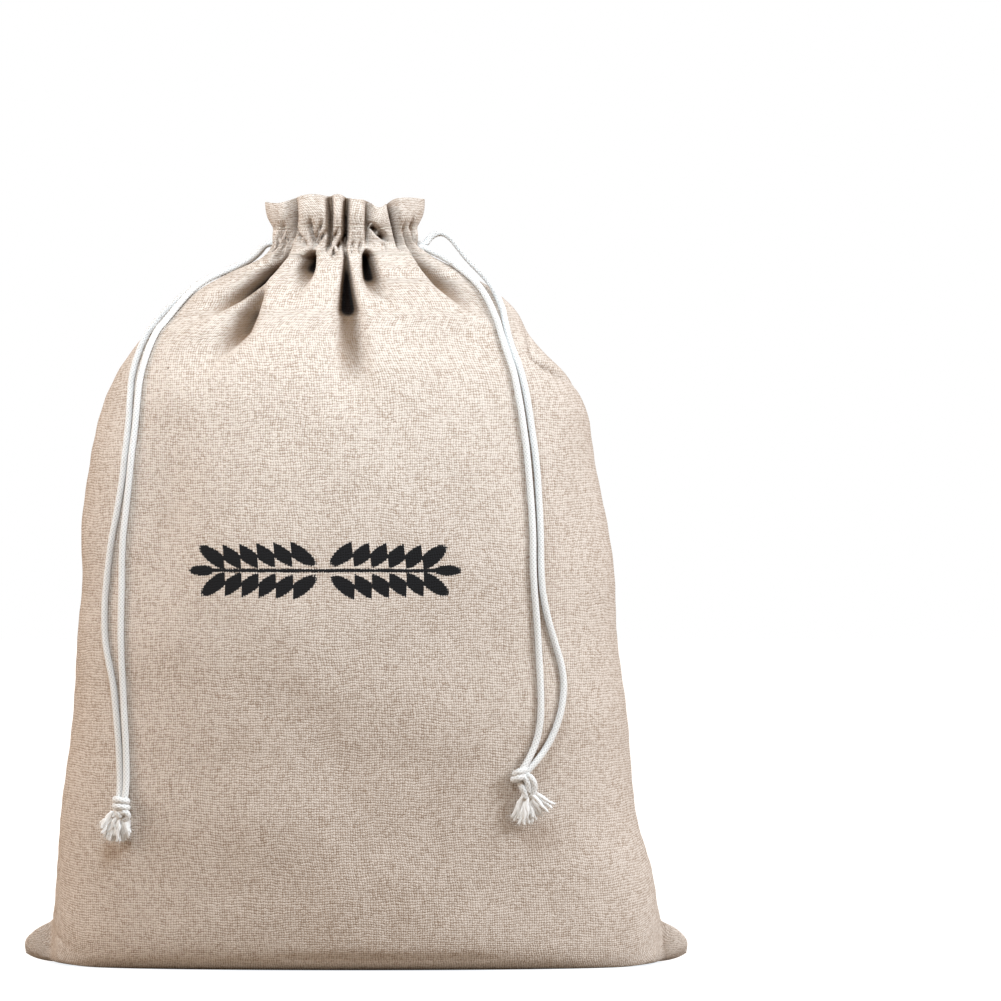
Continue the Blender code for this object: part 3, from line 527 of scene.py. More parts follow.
def linen(name, with_print):
    """The canvas: its weave, slubs, flecks, and painted shade down in its folds and between its threads."""
    made, shader, yarn = new_finish(name, roughness=0.95, sheen=0.02)
    flat = yarn.node("ShaderNodeTexCoord", output="UV")
    split = flat.node("ShaderNodeSeparateXYZ", None, {0: flat})
    u = split
    v = Yarn(split.tree, split.socket.node.outputs["Y"])

    # Threads wander a little from straight
    wander = yarn.cloud(flat, 45.0, 1.0) * 3.0 + yarn.cloud(flat, 330.0, 1.0) * 0.9
    turned = yarn.place(v, u, 7.0)
    wander_v = yarn.cloud(turned, 45.0, 1.0) * 3.0 + yarn.cloud(turned, 330.0, 1.0) * 0.9
    warp = u * (1.0 / WARP_PITCH) + wander
    weft = v * (1.0 / WEFT_PITCH) + wander_v
    warp_number, weft_number = warp.whole(), weft.whole()
    side = 1.0 - 2.0 * ((warp_number + weft_number) % 2.0)
    warp_round = ((warp - warp_number - 0.5) * math.pi).cosine()
    weft_round = ((weft - weft_number - 0.5) * math.pi).cosine()

    # Slubs: stretches where a thread is thick or thin
    warp_slub = yarn.cloud(yarn.place(warp * 0.83, weft * 0.14, 1.0), 1.0, 2.0, 0.6)
    weft_slub = yarn.cloud(yarn.place(warp * 0.14, weft * 0.83, 5.0), 1.0, 2.0, 0.6)
    over = warp_round * (0.5 + 0.5 * weft_round * side) * (0.45 + 1.1 * warp_slub)
    under = weft_round * (0.5 - 0.5 * warp_round * side) * (0.45 + 1.1 * weft_slub)
    height = over.most(under)

    # Colour: paler cotton and darker flax mixed crossing by crossing, in clouds, and by fibre, with painted shade
    # that darkens the pits between the threads and leaves their crowns paler
    crossing = yarn.node("ShaderNodeTexWhiteNoise", {"noise_dimensions": "2D"},
                         {"Vector": yarn.place(warp_number, weft_number)})
    fibre = yarn.cloud(yarn.place(u, v, 3.0), 900.0, 3.0, 0.75)
    cloud = yarn.cloud(yarn.place(u, v, 11.0), 30.0, 3.0, 0.6)
    grain = warp_slub * 0.5 + weft_slub * 0.5
    tone = (height * 1.0 + (grain - 0.5) * 0.5 + (fibre - 0.5) * 1.35 + (cloud - 0.5) * 0.25
            + (crossing - 0.5) * 0.5 + 0.12)
    colour = tone.ramp(0.0, 1.0).mix(LINEN_DARK, LINEN_PALE)

    # Flecks of husk, about one for each 20 mm square
    cells = yarn.node("ShaderNodeTexVoronoi", {"feature": "F1"},
                      {"Vector": flat, "Scale": 62.0, "Randomness": 1.0})
    cell_tint = Yarn(cells.tree, cells.socket.node.outputs["Color"])
    pick = cell_tint.node("ShaderNodeSeparateXYZ", None, {0: cell_tint})
    fleck = (1.0 - cells.ramp(0.018, 0.034)) * pick.ramp(0.62, 0.66)
    colour = (fleck * 0.85).mix(colour, HUSK)

    if with_print:
        colour = wheat_print(u, v, height, fibre).mix(colour, PRINT_INK)

    # Painted shade: the colour goes towards brown where a fold is pressed in more than 2.5 mm, and to black in the
    # deepest slits and pockets, standing in for the shade down in the folds.
    folded = yarn.node("ShaderNodeAttribute", {"attribute_name": "fold_depth"}, output="Fac")
    colour = (folded.ramp(2.5, 9.5) * 0.85).mix(colour, FOLD_PAINTED_SHADE)
    colour = folded.ramp(9.0, 13.5).mix(colour, FOLD_PAINTED_BLACK)

    feed(shader["Base Color"], colour)
    bump = yarn.node("ShaderNodeBump", None, {
        "Strength": 0.55, "Distance": 0.0005, "Height": height + fibre * 0.5})
    feed(shader["Normal"], bump)
    return made


# Print on the front
# A band of two ears of wheat printed in black, stems together in the middle, taking the place and
# the scale of the printing on such bags.
PRINT_INK = (0.011, 0.011, 0.012, 1.0)
PRINT_X, PRINT_ALONG = -0.0112, 0.2392
EAR_START, EAR_END = 0.0060, 0.0530
GRAIN_STEP = 0.0078
GRAIN_LEAN = math.radians(36.0)
GRAIN_OUT = 0.0076
GRAIN_HALF = (0.0084, 0.0033)
STEM_HALF = 0.0008


def wheat_print(u, v, height, fibre):
    """Where the ink is: 1 on the wheat and 0 off it, its edge roughened by the weave."""
    x, y = (u - PRINT_X).size(), v - PRINT_ALONG
    rough = (fibre - 0.5) * 0.0011 + (height - 0.5) * 0.0005

    # One grain, repeated along the ear and mirrored over its stem
    number = ((x - EAR_START) * (1.0 / GRAIN_STEP)).whole().most(0.0).least(
        math.floor((EAR_END - EAR_START) / GRAIN_STEP) - 1.0)
    taper = 1.0 - number * 0.045
    along = x - EAR_START - (number + 0.55) * GRAIN_STEP
    off = y.size() - GRAIN_OUT * taper
    turned_x = along * math.cos(GRAIN_LEAN) + off * math.sin(GRAIN_LEAN)
    turned_y = off * math.cos(GRAIN_LEAN) - along * math.sin(GRAIN_LEAN)
    squares = (turned_x * turned_x) * (1.0 / GRAIN_HALF[0] ** 2) + (
        turned_y * turned_y) * (1.0 / GRAIN_HALF[1] ** 2)
    grain = (squares.maths("SQRT", squares) - 1.0) * GRAIN_HALF[1]

    # The grain at the tip and the stem
    tip = (x - EAR_END - 0.0030) * (1.0 / 0.0062)
    tip_side = y * (1.0 / 0.0024)
    tip_squares = tip * tip + tip_side * tip_side
    tip_grain = (tip_squares.maths("SQRT", tip_squares) - 1.0) * 0.0024
    stem = (y.size() - STEM_HALF).most(x - EAR_END)
    shape = grain.least(tip_grain).least(stem) + rough
    return 1.0 - shape.ramp(-0.00015, 0.00025)


front_cloth.data.materials.append(linen("linen_front_printed", with_print=True))
back_cloth.data.materials.append(linen("linen_back_plain", with_print=False))
for panel, node in ((front_cloth, "front_panel"), (back_cloth, "back_panel")):
    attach(panel, "root")
    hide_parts(node)


# Drawstring tails
# Two white braided cotton cords of 3 mm run in the hem. One leaves it at the left seam and one at
# the right, each as two tails that hang down the front and end in a knot.
CORD_DIAMETER = 3.0
CORD_CLEARANCE = 0.05
CORD_STEP = 5.0
ROUTE_STEPS = 16
CORD_STRANDS = 6
CORD_AROUND = 24
PLAIT_LENGTH = 1.9
CORD_MESH_STEP = 0.42

# Routes from the hem's exit to the knot. x, y, z, and lies: 1 where the cord lies on the cloth.
CORD_ROUTES = {
    "left_outer_tail": ("left_outer_cord", (
        (-41.4,   1.9, 330.6, 0), (-46.0,   5.4, 325.0, 0), (-53.0,  6.4, 320.8, 0),
        (-61.0,   5.0, 318.2, 0), (-68.6,   2.8, 315.0, 0), (-76.4,  1.2, 310.2, 0), (-82.6, -0.6, 304.2, 0),
        (-89.0,  -4.5, 299.0, 0), (-94.6, -11.5, 289.5, 1), (-99.4, -19.0, 280.0, 1),
        (-101.8, -24.4, 268.0, 1), (-102.3, -29.4, 254.0, 1), (-104.1, -33.4, 233.0, 1),
        (-106.8, -34.4, 213.0, 1), (-110.0, -33.0, 191.0, 1), (-112.2, -32.4, 169.0, 1),
        (-112.0, -34.0, 148.0, 1), (-109.4, -38.0, 131.0, 1), (-108.8, -40.0, 118.0, 1),
        (-107.2, -42.0, 101.0, 1), (-106.7, -42.5, 88.0, 1))),
    "left_inner_tail": ("left_inner_cord", (
        (-41.4,  -1.9, 330.6, 0), (-46.0,   1.8, 325.4, 0), (-53.0,  2.6, 321.4, 0),
        (-60.6,   1.0, 318.2, 0), (-67.6,  -1.8, 315.2, 0), (-74.6, -4.0, 311.0, 0), (-80.6, -7.0, 304.4, 1),
        (-86.0, -12.0, 297.4, 1), (-91.4, -18.0, 288.5, 1), (-95.6, -24.0, 280.0, 1),
        (-98.2, -28.4, 268.0, 1), (-99.4, -33.0, 254.0, 1), (-101.8, -36.4, 233.0, 1),
        (-104.0, -38.0, 213.0, 1), (-105.6, -38.0, 191.0, 1), (-105.9, -40.0, 169.0, 1),
        (-106.0, -41.0, 148.0, 1), (-105.6, -42.0, 131.0, 1), (-105.2, -43.0, 118.0, 1),
        (-104.0, -44.0, 101.0, 1), (-103.6, -44.0, 89.0, 1))),
    "right_arch_tail": ("right_arch_cord", (
        (31.2,    1.9, 330.8, 0), (34.4,   2.6, 335.6, 0), (38.8,   2.4, 339.0, 0),
        (43.0,    1.2, 335.8, 0), (47.0,  -0.6, 329.2, 0), (51.8,  -3.0, 322.8, 0),
        (57.2,   -6.4, 317.8, 0), (62.2, -10.6, 312.6, 0), (65.8, -14.5, 306.6, 1),
        (68.6,  -19.0, 300.0, 1), (70.6, -26.0, 289.5, 1), (72.6, -30.0, 279.5, 1),
        (75.4,  -34.0, 267.0, 1), (78.2, -38.0, 251.0, 1), (80.2, -41.0, 240.0, 1),
        (82.0,  -43.0, 225.0, 1), (82.8, -46.0, 207.0, 1), (82.8, -47.0, 191.0, 1),
        (83.0,  -48.0, 178.0, 1), (84.6, -48.0, 167.0, 1), (88.4, -46.0, 152.0, 1),
        (92.2,  -44.0, 139.0, 1), (93.4, -44.0, 129.0, 1), (91.4, -46.0, 116.5, 1),
        (87.4,  -48.0, 105.0, 1), (83.6, -50.0,  98.6, 1))),
    "right_low_tail": ("right_low_cord", (
        (31.4,   -1.9, 328.8, 0), (36.4,  -3.0, 326.8, 0), (42.4,  -5.0, 323.6, 0),
        (48.8,   -9.5, 320.4, 1), (54.6, -13.5, 315.6, 1), (59.6, -18.0, 309.6, 1),
        (63.6,  -22.0, 302.4, 1), (66.4, -26.0, 290.0, 1), (68.6, -30.0, 279.5, 1),
        (71.8,  -36.0, 267.0, 1), (74.6, -40.0, 251.0, 1), (76.6, -43.0, 240.0, 1),
        (78.4,  -46.0, 225.0, 1), (79.2, -48.0, 207.0, 1), (79.2, -49.0, 191.0, 1),
        (79.4,  -50.0, 178.0, 1), (80.6, -50.0, 167.0, 1), (82.0, -50.0, 152.0, 1),
        (82.4,  -50.0, 138.0, 1), (82.4, -50.0, 124.0, 1), (81.6, -50.0, 110.0, 1),
        (79.6,  -51.0, 101.0, 1))),
}


# Where each pair of tails is tied, seen from the front, and how far off the cloth the knot sits
KNOT_PLACES = {"left": (-106.3, 74.0), "right": (76.6, 87.6)}
KNOT_LIFT = 4.4
CORD_ENDS = {
    # offsets from the middle of the knot, where the tail goes in and where it ends inside
    "left_outer_tail": ((-0.5, 0.7, 7.4), (-0.9, 0.4, 3.6), (-1.1, 0.4, 0.6)),
    "left_inner_tail": ((2.6, -0.4, 7.4), (2.0, -0.4, 3.6), (1.1, -0.2, 0.6)),
    "right_arch_tail": ((3.6, 0.2, 6.0), (0.6, 0.3, 3.2), (-2.0, 0.4, 0.8)),
    "right_low_tail": ((0.6, -0.4, 7.4), (-1.6, -0.5, 4.0), (-3.2, -0.2, 1.0)),
}


def cloth_surface():
    """The whole outside of the bag, for laying cords and yarns on."""
    corners, faces = [], []
    for face, outward in ((front_face, True), (back_face, False)):
        rows, columns = face.shape[:2]
        start = len(corners)
        corners += [Vector(p) for p in face.reshape(-1, 3)]
        for i in range(rows - 1):
            for j in range(columns - 1):
                a = start + i * columns + j
                ring = (a, a + 1, a + columns + 1, a + columns)
                faces.append(ring if outward else ring[::-1])
    return BVHTree.FromPolygons(corners, faces)


outside = cloth_surface()


def knot_middle(side):
    """The middle of a knot in millimetres, just off the front of the cloth."""
    x, z = KNOT_PLACES[side]
    place, _, _, _ = outside.ray_cast(Vector((x, -200.0, z)) * MM, Vector((0.0, 1.0, 0.0)))
    return np.array((x, place.y / MM - KNOT_LIFT, z))


def smooth_route(route, step):
    """Points at even spacing on a smooth curve through a route's rows."""
    points = [np.array(row, dtype=float) for row in route]
    dense = []
    for i in range(len(points) - 1):
        before, after = points[max(i - 1, 0)], points[min(i + 2, len(points) - 1)]
        start, end = points[i], points[i + 1]
        for k in range(ROUTE_STEPS):
            t = k / ROUTE_STEPS
            dense.append(0.5 * (2 * start + (end - before) * t
                                + (2 * before - 5 * start + 4 * end - after) * t**2
                                + (3 * start - 3 * end + after - before) * t**3))
    dense = np.array(dense + [points[-1]])
    lengths = np.concatenate(([0.0], np.cumsum(np.linalg.norm(np.diff(dense[:, :3], axis=0), axis=1))))
    stations = np.linspace(0.0, lengths[-1], max(2, round(lengths[-1] / step)) + 1)
    return np.stack([np.interp(stations, lengths, dense[:, k]) for k in range(dense.shape[1])], axis=1)


def laid_on_cloth(points, clearance):
    """Keeps each point clear of the cloth and brings those that lie on it to that clearance."""
    laid = []
    for x, y, z, lies in points:
        point = Vector((x, y, z)) * MM
        place, normal, _, _ = outside.find_nearest(point)
        outward = (point - place).dot(normal)
        pull = 1.0 if outward < clearance else min(max(lies, 0.0), 1.0)
        laid.append(point.lerp(place + normal * clearance, pull))
    return np.array(laid)


def eased(points):
    """The same route with small kinks taken out, as a cord bridges the small hollows under it."""
    for _ in range(3):
        inner = 0.25 * points[:-2] + 0.5 * points[1:-1] + 0.25 * points[2:]
        points = np.concatenate((points[:1], inner, points[-1:]))
    return points


def plait(a, b):
    """Height, 0 to 1, of strands that cross one over and one under."""
    side = 1.0 - 2.0 * ((np.floor(a) + np.floor(b)) % 2)
    over, under = np.cos(np.pi * (a % 1.0 - 0.5)), np.cos(np.pi * (b % 1.0 - 0.5))
    return np.maximum(over * (0.5 + 0.5 * under * side), under * (0.5 - 0.5 * over * side))


def swept(name, route, radius, around, relief=None):
    """A round tube along a route in metres. radius is a number or one for each point, and relief
    gives how far the surface stands out at each turn round it and distance along it."""
    tangents = np.gradient(route, axis=0)
    tangents /= np.linalg.norm(tangents, axis=1, keepdims=True)
    side = np.cross(tangents[0], (0.31, 0.0, 0.95))
    sides = []
    for tangent in tangents:
        side = side - tangent * side.dot(tangent)
        side = side / np.linalg.norm(side)
        sides.append(side)
    sides = np.array(sides)
    others = np.cross(tangents, sides)
    turns = np.linspace(0.0, 1.0, around + 1)
    far = np.concatenate(([0.0], np.cumsum(np.linalg.norm(np.diff(route, axis=0), axis=1))))
    reach = np.broadcast_to(np.asarray(radius, dtype=float), (len(route),))[:, None] * np.ones(around + 1)
    if relief is not None:
        reach = reach + relief(turns[None, :], far[:, None])
    angle = 2 * np.pi * turns
    points = (route[:, None] + sides[:, None] * (np.cos(angle)[:, None] * reach[..., None])
              + others[:, None] * (np.sin(angle)[:, None] * reach[..., None]))
    flat = np.stack((np.broadcast_to(turns[None, :], reach.shape) * 2 * np.pi * np.mean(radius),
                     np.broadcast_to(far[:, None], reach.shape)), axis=-1)
    tube, _, _ = shaped_grid(name, points, flat)
    bpy.ops.object.mode_set(mode="EDIT")
    bpy.ops.mesh.select_all(action="SELECT")
    bpy.ops.mesh.remove_doubles(threshold=1e-7)
    bpy.ops.mesh.fill_holes(sides=0)
    bpy.ops.mesh.select_all(action="SELECT")
    bpy.ops.mesh.normals_make_consistent(inside=False)
    bpy.ops.object.mode_set(mode="OBJECT")
    tube.data.shade_smooth()
    return tube


def braid_relief(turns, far):
    """The braid's strands, standing out of the cord by about a tenth of its diameter."""
    a = turns * CORD_STRANDS + far / (PLAIT_LENGTH * MM)
    b = turns * CORD_STRANDS - far / (PLAIT_LENGTH * MM) + 64.0
    return (plait(a, b) - 0.62) * 0.085 * CORD_DIAMETER * MM


COTTON_BRIGHT = (0.70, 0.695, 0.685, 1.0)
COTTON_DIM_AND_GROOVE_SHADE = (0.46, 0.455, 0.45, 1.0)


def cotton(name):
    """Bleached cotton yarn, matt, with a fine fibre along each strand, and painted shade between the strands of the
    braid.
    """
    made, shader, yarn = new_finish(name, roughness=0.85, sheen=0.2)
    flat = yarn.node("ShaderNodeTexCoord", output="UV")
    place = yarn.node("ShaderNodeTexCoord", output="Object")
    split = flat.node("ShaderNodeSeparateXYZ", None, {0: flat})
    v = Yarn(split.tree, split.socket.node.outputs["Y"])
    a = split * (CORD_STRANDS / (math.pi * CORD_DIAMETER * MM)) + v * (1.0 / (PLAIT_LENGTH * MM))
    b = split * (CORD_STRANDS / (math.pi * CORD_DIAMETER * MM)) - v * (1.0 / (PLAIT_LENGTH * MM))
    edge_a = ((a - a.whole() - 0.5) * math.pi).cosine()
    edge_b = ((b - b.whole() - 0.5) * math.pi).cosine()
    groove = edge_a.most(edge_b).ramp(0.55, 0.95)
    fibre = yarn.cloud(place, 2600.0, 3.0, 0.7)
    # Painted shade: the crowns of the strands keep the bright cotton and the grooves between them go grey; the
    # fibre varies the tone at random.
    tone = groove * 0.7 + (fibre - 0.5) * 0.6 + 0.25
    feed(shader["Base Color"], tone.ramp(0.0, 1.0).mix(COTTON_DIM_AND_GROOVE_SHADE, COTTON_BRIGHT))
    bump = yarn.node("ShaderNodeBump", None, {
        "Strength": 0.35, "Distance": 0.0003, "Height": fibre + groove * 0.4})
    feed(shader["Normal"], bump)
    return made


cord_cotton = cotton("braided_cotton")
EXIT_INSIDE = 6.0
for name, (node, route) in CORD_ROUTES.items():
    middle = knot_middle(name.split("_")[0])
    route = route + tuple((*(middle + offset), 0) for offset in CORD_ENDS[name])
    first = route[0]
    inside = (first[0] + math.copysign(EXIT_INSIDE, -first[0]), first[1] * 0.9, first[2] + 1.0)
    clearance = (CORD_DIAMETER / 2 + CORD_CLEARANCE) * MM
    laid = eased(laid_on_cloth(smooth_route(route, CORD_STEP), clearance))
    clear = laid_on_cloth([(*(p / MM), 0) for p in laid], clearance)
    line = np.concatenate(([np.array(inside) * MM], clear)) / MM
    fine = smooth_route(line, CORD_MESH_STEP) * MM
    tail = swept(name, fine, CORD_DIAMETER / 2 * MM, CORD_AROUND, braid_relief)
    tail.data.materials.append(cord_cotton)
    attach(tail, "root")
    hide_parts(node)


# Knots and frayed ends
# Each pair of tails is tied in one overhand knot: both cords pass once round themselves side by
# side. Below it the braid is opened out into soft yarns, and these fray into fibres at their tips.
YARN_RADIUS, YARN_TIP_RADIUS = 1.15, 0.60
YARN_POINTS, YARN_AROUND = 22, 9
FIBRES_A_YARN = 11
FIBRE_RADIUS = 0.085
FIBRE_POINTS = 7
YARN_CLEARANCE = 0.12
KNOTS = {
    "left": {
        "node": "left_knot",
        # Turns of cord round the knot: x, z, half width, half depth, tilt in degrees
        "turns": ((0.1, 3.2, 2.7, 2.6, -8.0), (0.1, 0.3, 2.8, 2.7, -7.0)),
        # Bends of cord that show below the turns
        "bends": (((-1.6, 0.6, -1.4), (0.6, -1.9, -1.9), (2.6, -1.9, -2.6), (3.1, -1.4, -4.0),
                   (2.2, -0.9, -5.2), (0.4, -0.2, -5.0)),
                  ((-2.2, 0.4, -0.6), (-2.4, -0.4, -3.0), (-3.2, -0.4, -4.6)),
                  ((-1.8, -0.9, -1.2), (-1.0, -1.6, -2.8), (-0.2, -1.4, -4.4)),
                  ((0.2, 0.6, -1.0), (0.0, 0.0, -3.6), (-0.6, 0.0, -5.4))),
        # Yarns: x and z where each comes out of the knot and where it ends
        "yarns": ((-3.6, -1.8, -9.4, -7.4), (-3.5, -2.4, -9.1, -9.6), (-3.2, -3.0, -8.6, -11.7),
                  (-3.0, -3.5, -7.8, -13.6), (-2.6, -4.0, -6.4, -14.8), (-2.0, -4.3, -5.0, -15.2),
                  (-1.4, -4.6, -3.6, -15.3), (-0.8, -4.8, -2.0, -15.4), (-0.2, -4.9, -0.6, -15.4),
                  (0.4, -4.9, 0.8, -15.3), (0.9, -4.8, 2.0, -14.9), (1.4, -4.6, 3.2, -13.8),
                  (1.7, -4.3, 4.0, -11.4), (1.9, -4.0, 4.3, -8.8), (-1.8, -4.0, -5.6, -12.2),
                  (-0.8, -4.4, -2.8, -13.0), (0.2, -4.6, 0.0, -13.0), (1.0, -4.4, 2.2, -12.2))},
    "right": {
        "node": "right_knot",
        "turns": ((-3.0, 3.0, 2.3, 2.6, 24.0), (-3.4, 0.3, 2.5, 2.8, 22.0)),
        "bends": (((-1.0, 0.4, 1.6), (1.6, -1.9, 0.6), (3.2, -2.0, -1.6), (3.6, -1.4, -4.0),
                   (2.6, -0.8, -6.6), (1.8, -0.2, -8.4)),
                  ((-3.0, -0.4, -1.6), (-1.8, -1.4, -4.0), (-0.6, -1.3, -6.6), (-0.8, -0.8, -8.8)),
                  ((-1.4, -1.2, 0.8), (0.4, -2.0, -1.2), (1.0, -1.7, -3.6), (0.8, -1.1, -6.0)),
                  ((-1.0, 0.6, -1.0), (0.6, 0.2, -4.0), (1.0, 0.2, -7.6))),
        "yarns": ((-1.4, -7.6, -6.3, -17.6), (-1.0, -8.0, -5.2, -19.4), (-0.6, -8.2, -3.2, -20.8),
                  (-0.2, -8.4, -1.0, -21.0), (0.3, -8.4, 1.0, -20.6), (0.7, -8.4, 2.8, -19.9),
                  (1.1, -8.2, 4.5, -18.8), (2.4, -5.4, 12.7, -11.8), (2.4, -6.0, 11.3, -13.5),
                  (2.2, -6.8, 9.5, -15.2), (1.8, -7.4, 7.3, -17.0), (-0.6, -7.6, -4.0, -18.4),
                  (0.9, -8.0, 3.2, -17.8), (0.2, -7.8, -2.2, -19.2), (0.5, -8.0, 0.3, -19.2),
                  (1.6, -7.4, 5.8, -16.6), (2.0, -6.6, 8.6, -14.8), (2.3, -5.8, 10.4, -12.8))},
}
rng = np.random.default_rng(7)


FRAYED_BRIGHT = (0.86, 0.855, 0.845, 1.0)
FRAYED_GREY = (0.54, 0.535, 0.53, 1.0)


def frayed(name):
    """Loose cotton: soft streaks of fibre along each yarn."""
    made, shader, yarn = new_finish(name, roughness=0.9, sheen=0.25)
    flat = yarn.node("ShaderNodeTexCoord", output="UV")
    u = flat.node("ShaderNodeSeparateXYZ", None, {0: flat})
    v = Yarn(u.tree, u.socket.node.outputs["Y"])
    streak = yarn.cloud(yarn.place(u * 3400.0 + v * 900.0, v * 260.0), 1.0, 3.0, 0.6)
    tone = (streak - 0.5) * 2.2 + 0.62
    feed(shader["Base Color"], tone.ramp(0.0, 1.0).mix(FRAYED_GREY, FRAYED_BRIGHT))
    feed(shader["Normal"], yarn.node("ShaderNodeBump", None, {
        "Strength": 0.5, "Distance": 0.0002, "Height": streak}))
    return made


def turn_route(middle, x, z, half_width, half_depth, tilt):
    """One turn of cord round the knot, its ends meeting out of sight behind."""
    angle = np.linspace(0.5 * math.pi - 0.25, 2.5 * math.pi + 0.25, 64)
    across, lean = half_width * np.cos(angle), math.radians(tilt)
    return middle + np.stack((x + across * math.cos(lean), half_depth * np.sin(angle),
                              z + across * math.sin(lean)), axis=1)


def bow(start, bend, end, count):
    """Points on one smooth curve from start to end that leans towards bend."""
    t = np.linspace(0.0, 1.0, count)[:, None]
    return (1 - t) ** 2 * start + 2 * t * (1 - t) * bend + t**2 * end


def off_cloth(points, clearance):
    """The same points in metres, none nearer the cloth than the clearance in millimetres."""
    return laid_on_cloth([(*p, 0) for p in points], clearance * MM)


frayed_cotton = frayed("frayed_cotton")
for side, knot in KNOTS.items():
    middle = knot_middle(side)
    pieces = []
    for number, turn in enumerate(knot["turns"]):
        piece = swept(f"{side}_turn_{number}", turn_route(middle, *turn) * MM,
                      CORD_DIAMETER / 2 * MM, CORD_AROUND, braid_relief)
        pieces.append(piece)
    for number, bend in enumerate(knot["bends"]):
        rows = [(*(middle + offset), 0) for offset in bend]
        line = off_cloth(smooth_route(rows, CORD_MESH_STEP)[:, :3], CORD_DIAMETER / 2 + CORD_CLEARANCE)
        pieces.append(swept(f"{side}_bend_{number}", line, CORD_DIAMETER / 2 * MM, CORD_AROUND,
                            braid_relief))
    for piece in pieces:
        piece.data.materials.append(cord_cotton)

    for number, (root_x, root_z, tip_x, tip_z) in enumerate(knot["yarns"]):
        root = middle + (root_x, rng.uniform(-1.3, 0.9), root_z)
        tip = middle + (tip_x, rng.uniform(-1.0, 1.8), tip_z)
        bend = 0.5 * root + 0.5 * tip + (rng.uniform(-0.8, 0.8), rng.uniform(-1.8, 0.2),
                                         rng.uniform(-0.8, 0.8))
        line = bow(root, bend, tip, YARN_POINTS)
        t = np.linspace(0.0, 1.0, YARN_POINTS)
        wave = 0.22 * np.sin(2 * np.pi * (t * rng.uniform(1.2, 2.2) + rng.uniform()))
        line[:, 0] += wave
        line = off_cloth(line, YARN_RADIUS + YARN_CLEARANCE)
        slim = YARN_RADIUS * rng.uniform(0.8, 1.1)
        radii = (slim + (YARN_TIP_RADIUS - slim) * t**2.2) * MM
        piece = swept(f"{side}_yarn_{number}", line, radii, YARN_AROUND,
                      lambda turns, far: 0.07 * MM * np.cos(2 * np.pi * (3 * turns + far / (4.0 * MM))))
        piece.data.materials.append(frayed_cotton)
        pieces.append(piece)
        for strand in range(FIBRES_A_YARN):
            start = int(rng.uniform(0.25, 0.95) * (YARN_POINTS - 2))
            along = line[start + 1] - line[start]
            along /= np.linalg.norm(along)
            stray = rng.normal(size=3) * (0.30, 0.26, 0.30)
            reach = rng.uniform(2.0, 5.0)
            away = along + stray
            base = line[start] / MM + stray * 0.9
            end = base + away / np.linalg.norm(away) * reach
            bend = base + along * reach * 0.5 + rng.normal(size=3) * 0.25
            thread = off_cloth(bow(base, bend, end, FIBRE_POINTS), FIBRE_RADIUS + YARN_CLEARANCE)
            piece = swept(f"{side}_fibre_{number}_{strand}", thread,
                          np.linspace(FIBRE_RADIUS, 0.4 * FIBRE_RADIUS, FIBRE_POINTS) * MM, 3)
            piece.data.materials.append(frayed_cotton)
            pieces.append(piece)

    bpy.ops.object.select_all(action="DESELECT")
    for piece in pieces:
        piece.select_set(True)
    bpy.context.view_layer.objects.active = pieces[0]
    bpy.ops.object.join()
    tied = bpy.context.object
    tied.name = tied.data.name = f"{side}_knot_tied"
    tied.data.shade_smooth()
    bpy.ops.object.select_all(action="DESELECT")
    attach(tied, "root")
    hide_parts(knot["node"])


# Stitching of the hem
# Two rows of lockstitch in cotton thread hold the hem down, one above the cord and one below it.
# Each shows as short dashes where the thread comes up over the cloth.
STITCH_LENGTH = 2.6
THREAD_RADIUS = 0.26
THREAD_RISE = 0.42
THREAD_STEP = 0.33
THREAD_SINK = 1.0
THREAD_COLOUR = (0.50, 0.445, 0.38, 1.0)


def stitched_row(name, side, along):
    """One row of stitches: a thread that rises over the cloth and dips through it."""
    across = np.linspace(0.012, 0.988, 900)
    points, push = cloth_points(side, across, [along])
    row, sunk = points[0], smooth_step(2.0, 4.5, push[0])
    above = cloth_points(side, across, [along + 0.5])[0][0]
    normal = np.cross(np.gradient(row, axis=0), above - row)
    if side == "back":
        normal = -normal
    normal /= np.linalg.norm(normal, axis=1, keepdims=True)
    far = np.concatenate(([0.0], np.cumsum(np.linalg.norm(np.diff(row, axis=0), axis=1))))
    phase = np.abs(np.sin(np.pi * far / STITCH_LENGTH)) ** 0.5
    line = row + normal * (THREAD_RISE * phase - THREAD_RADIUS * 1.1 - THREAD_SINK * sunk)[:, None]
    stations = np.arange(0.0, far[-1], THREAD_STEP)
    line = np.stack([np.interp(stations, far, line[:, k]) for k in range(3)], axis=1)
    return swept(name, line * MM, THREAD_RADIUS * MM, 6)


thread_cotton, thread_shader, _ = new_finish("stitching_thread", roughness=0.8, sheen=0.1)
thread_shader["Base Color"].default_value = THREAD_COLOUR
for panel, side in ((front_cloth, "front"), (back_cloth, "back")):
    rows = [stitched_row(f"{side}_stitches_{k}", side, along) for k, along in enumerate(STITCH_ROWS)]
    bpy.ops.object.select_all(action="DESELECT")
    for row in rows:
        row.select_set(True)
        row.data.materials.append(thread_cotton)
    bpy.context.view_layer.objects.active = rows[0]
    bpy.ops.object.join()
    stitches = bpy.context.object
    stitches.name = stitches.data.name = f"{side}_hem_stitches"
    bpy.ops.object.select_all(action="DESELECT")
    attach(stitches, "root")


# Camera
# Level with the middle of the picture and square to the front, far enough off to flatten the view
PICTURE_WIDTH = 0.4555
PICTURE_CENTRE = (0.0657, 0.2127)
FRONT_PLANE = -0.030
CAMERA_BACK = 2.6
SENSOR = 36.0
view = bpy.data.cameras.new("view")
view.sensor_width = SENSOR
view.lens = SENSOR * (CAMERA_BACK + FRONT_PLANE) / PICTURE_WIDTH
view.shift_x = PICTURE_CENTRE[0] / PICTURE_WIDTH
camera = bpy.data.objects.new("view", view)
camera.location = (0.0, -CAMERA_BACK, PICTURE_CENTRE[1])
camera.rotation_euler = (math.pi / 2, 0.0, 0.0)
bpy.context.scene.collection.objects.link(camera)
bpy.context.scene.camera = camera


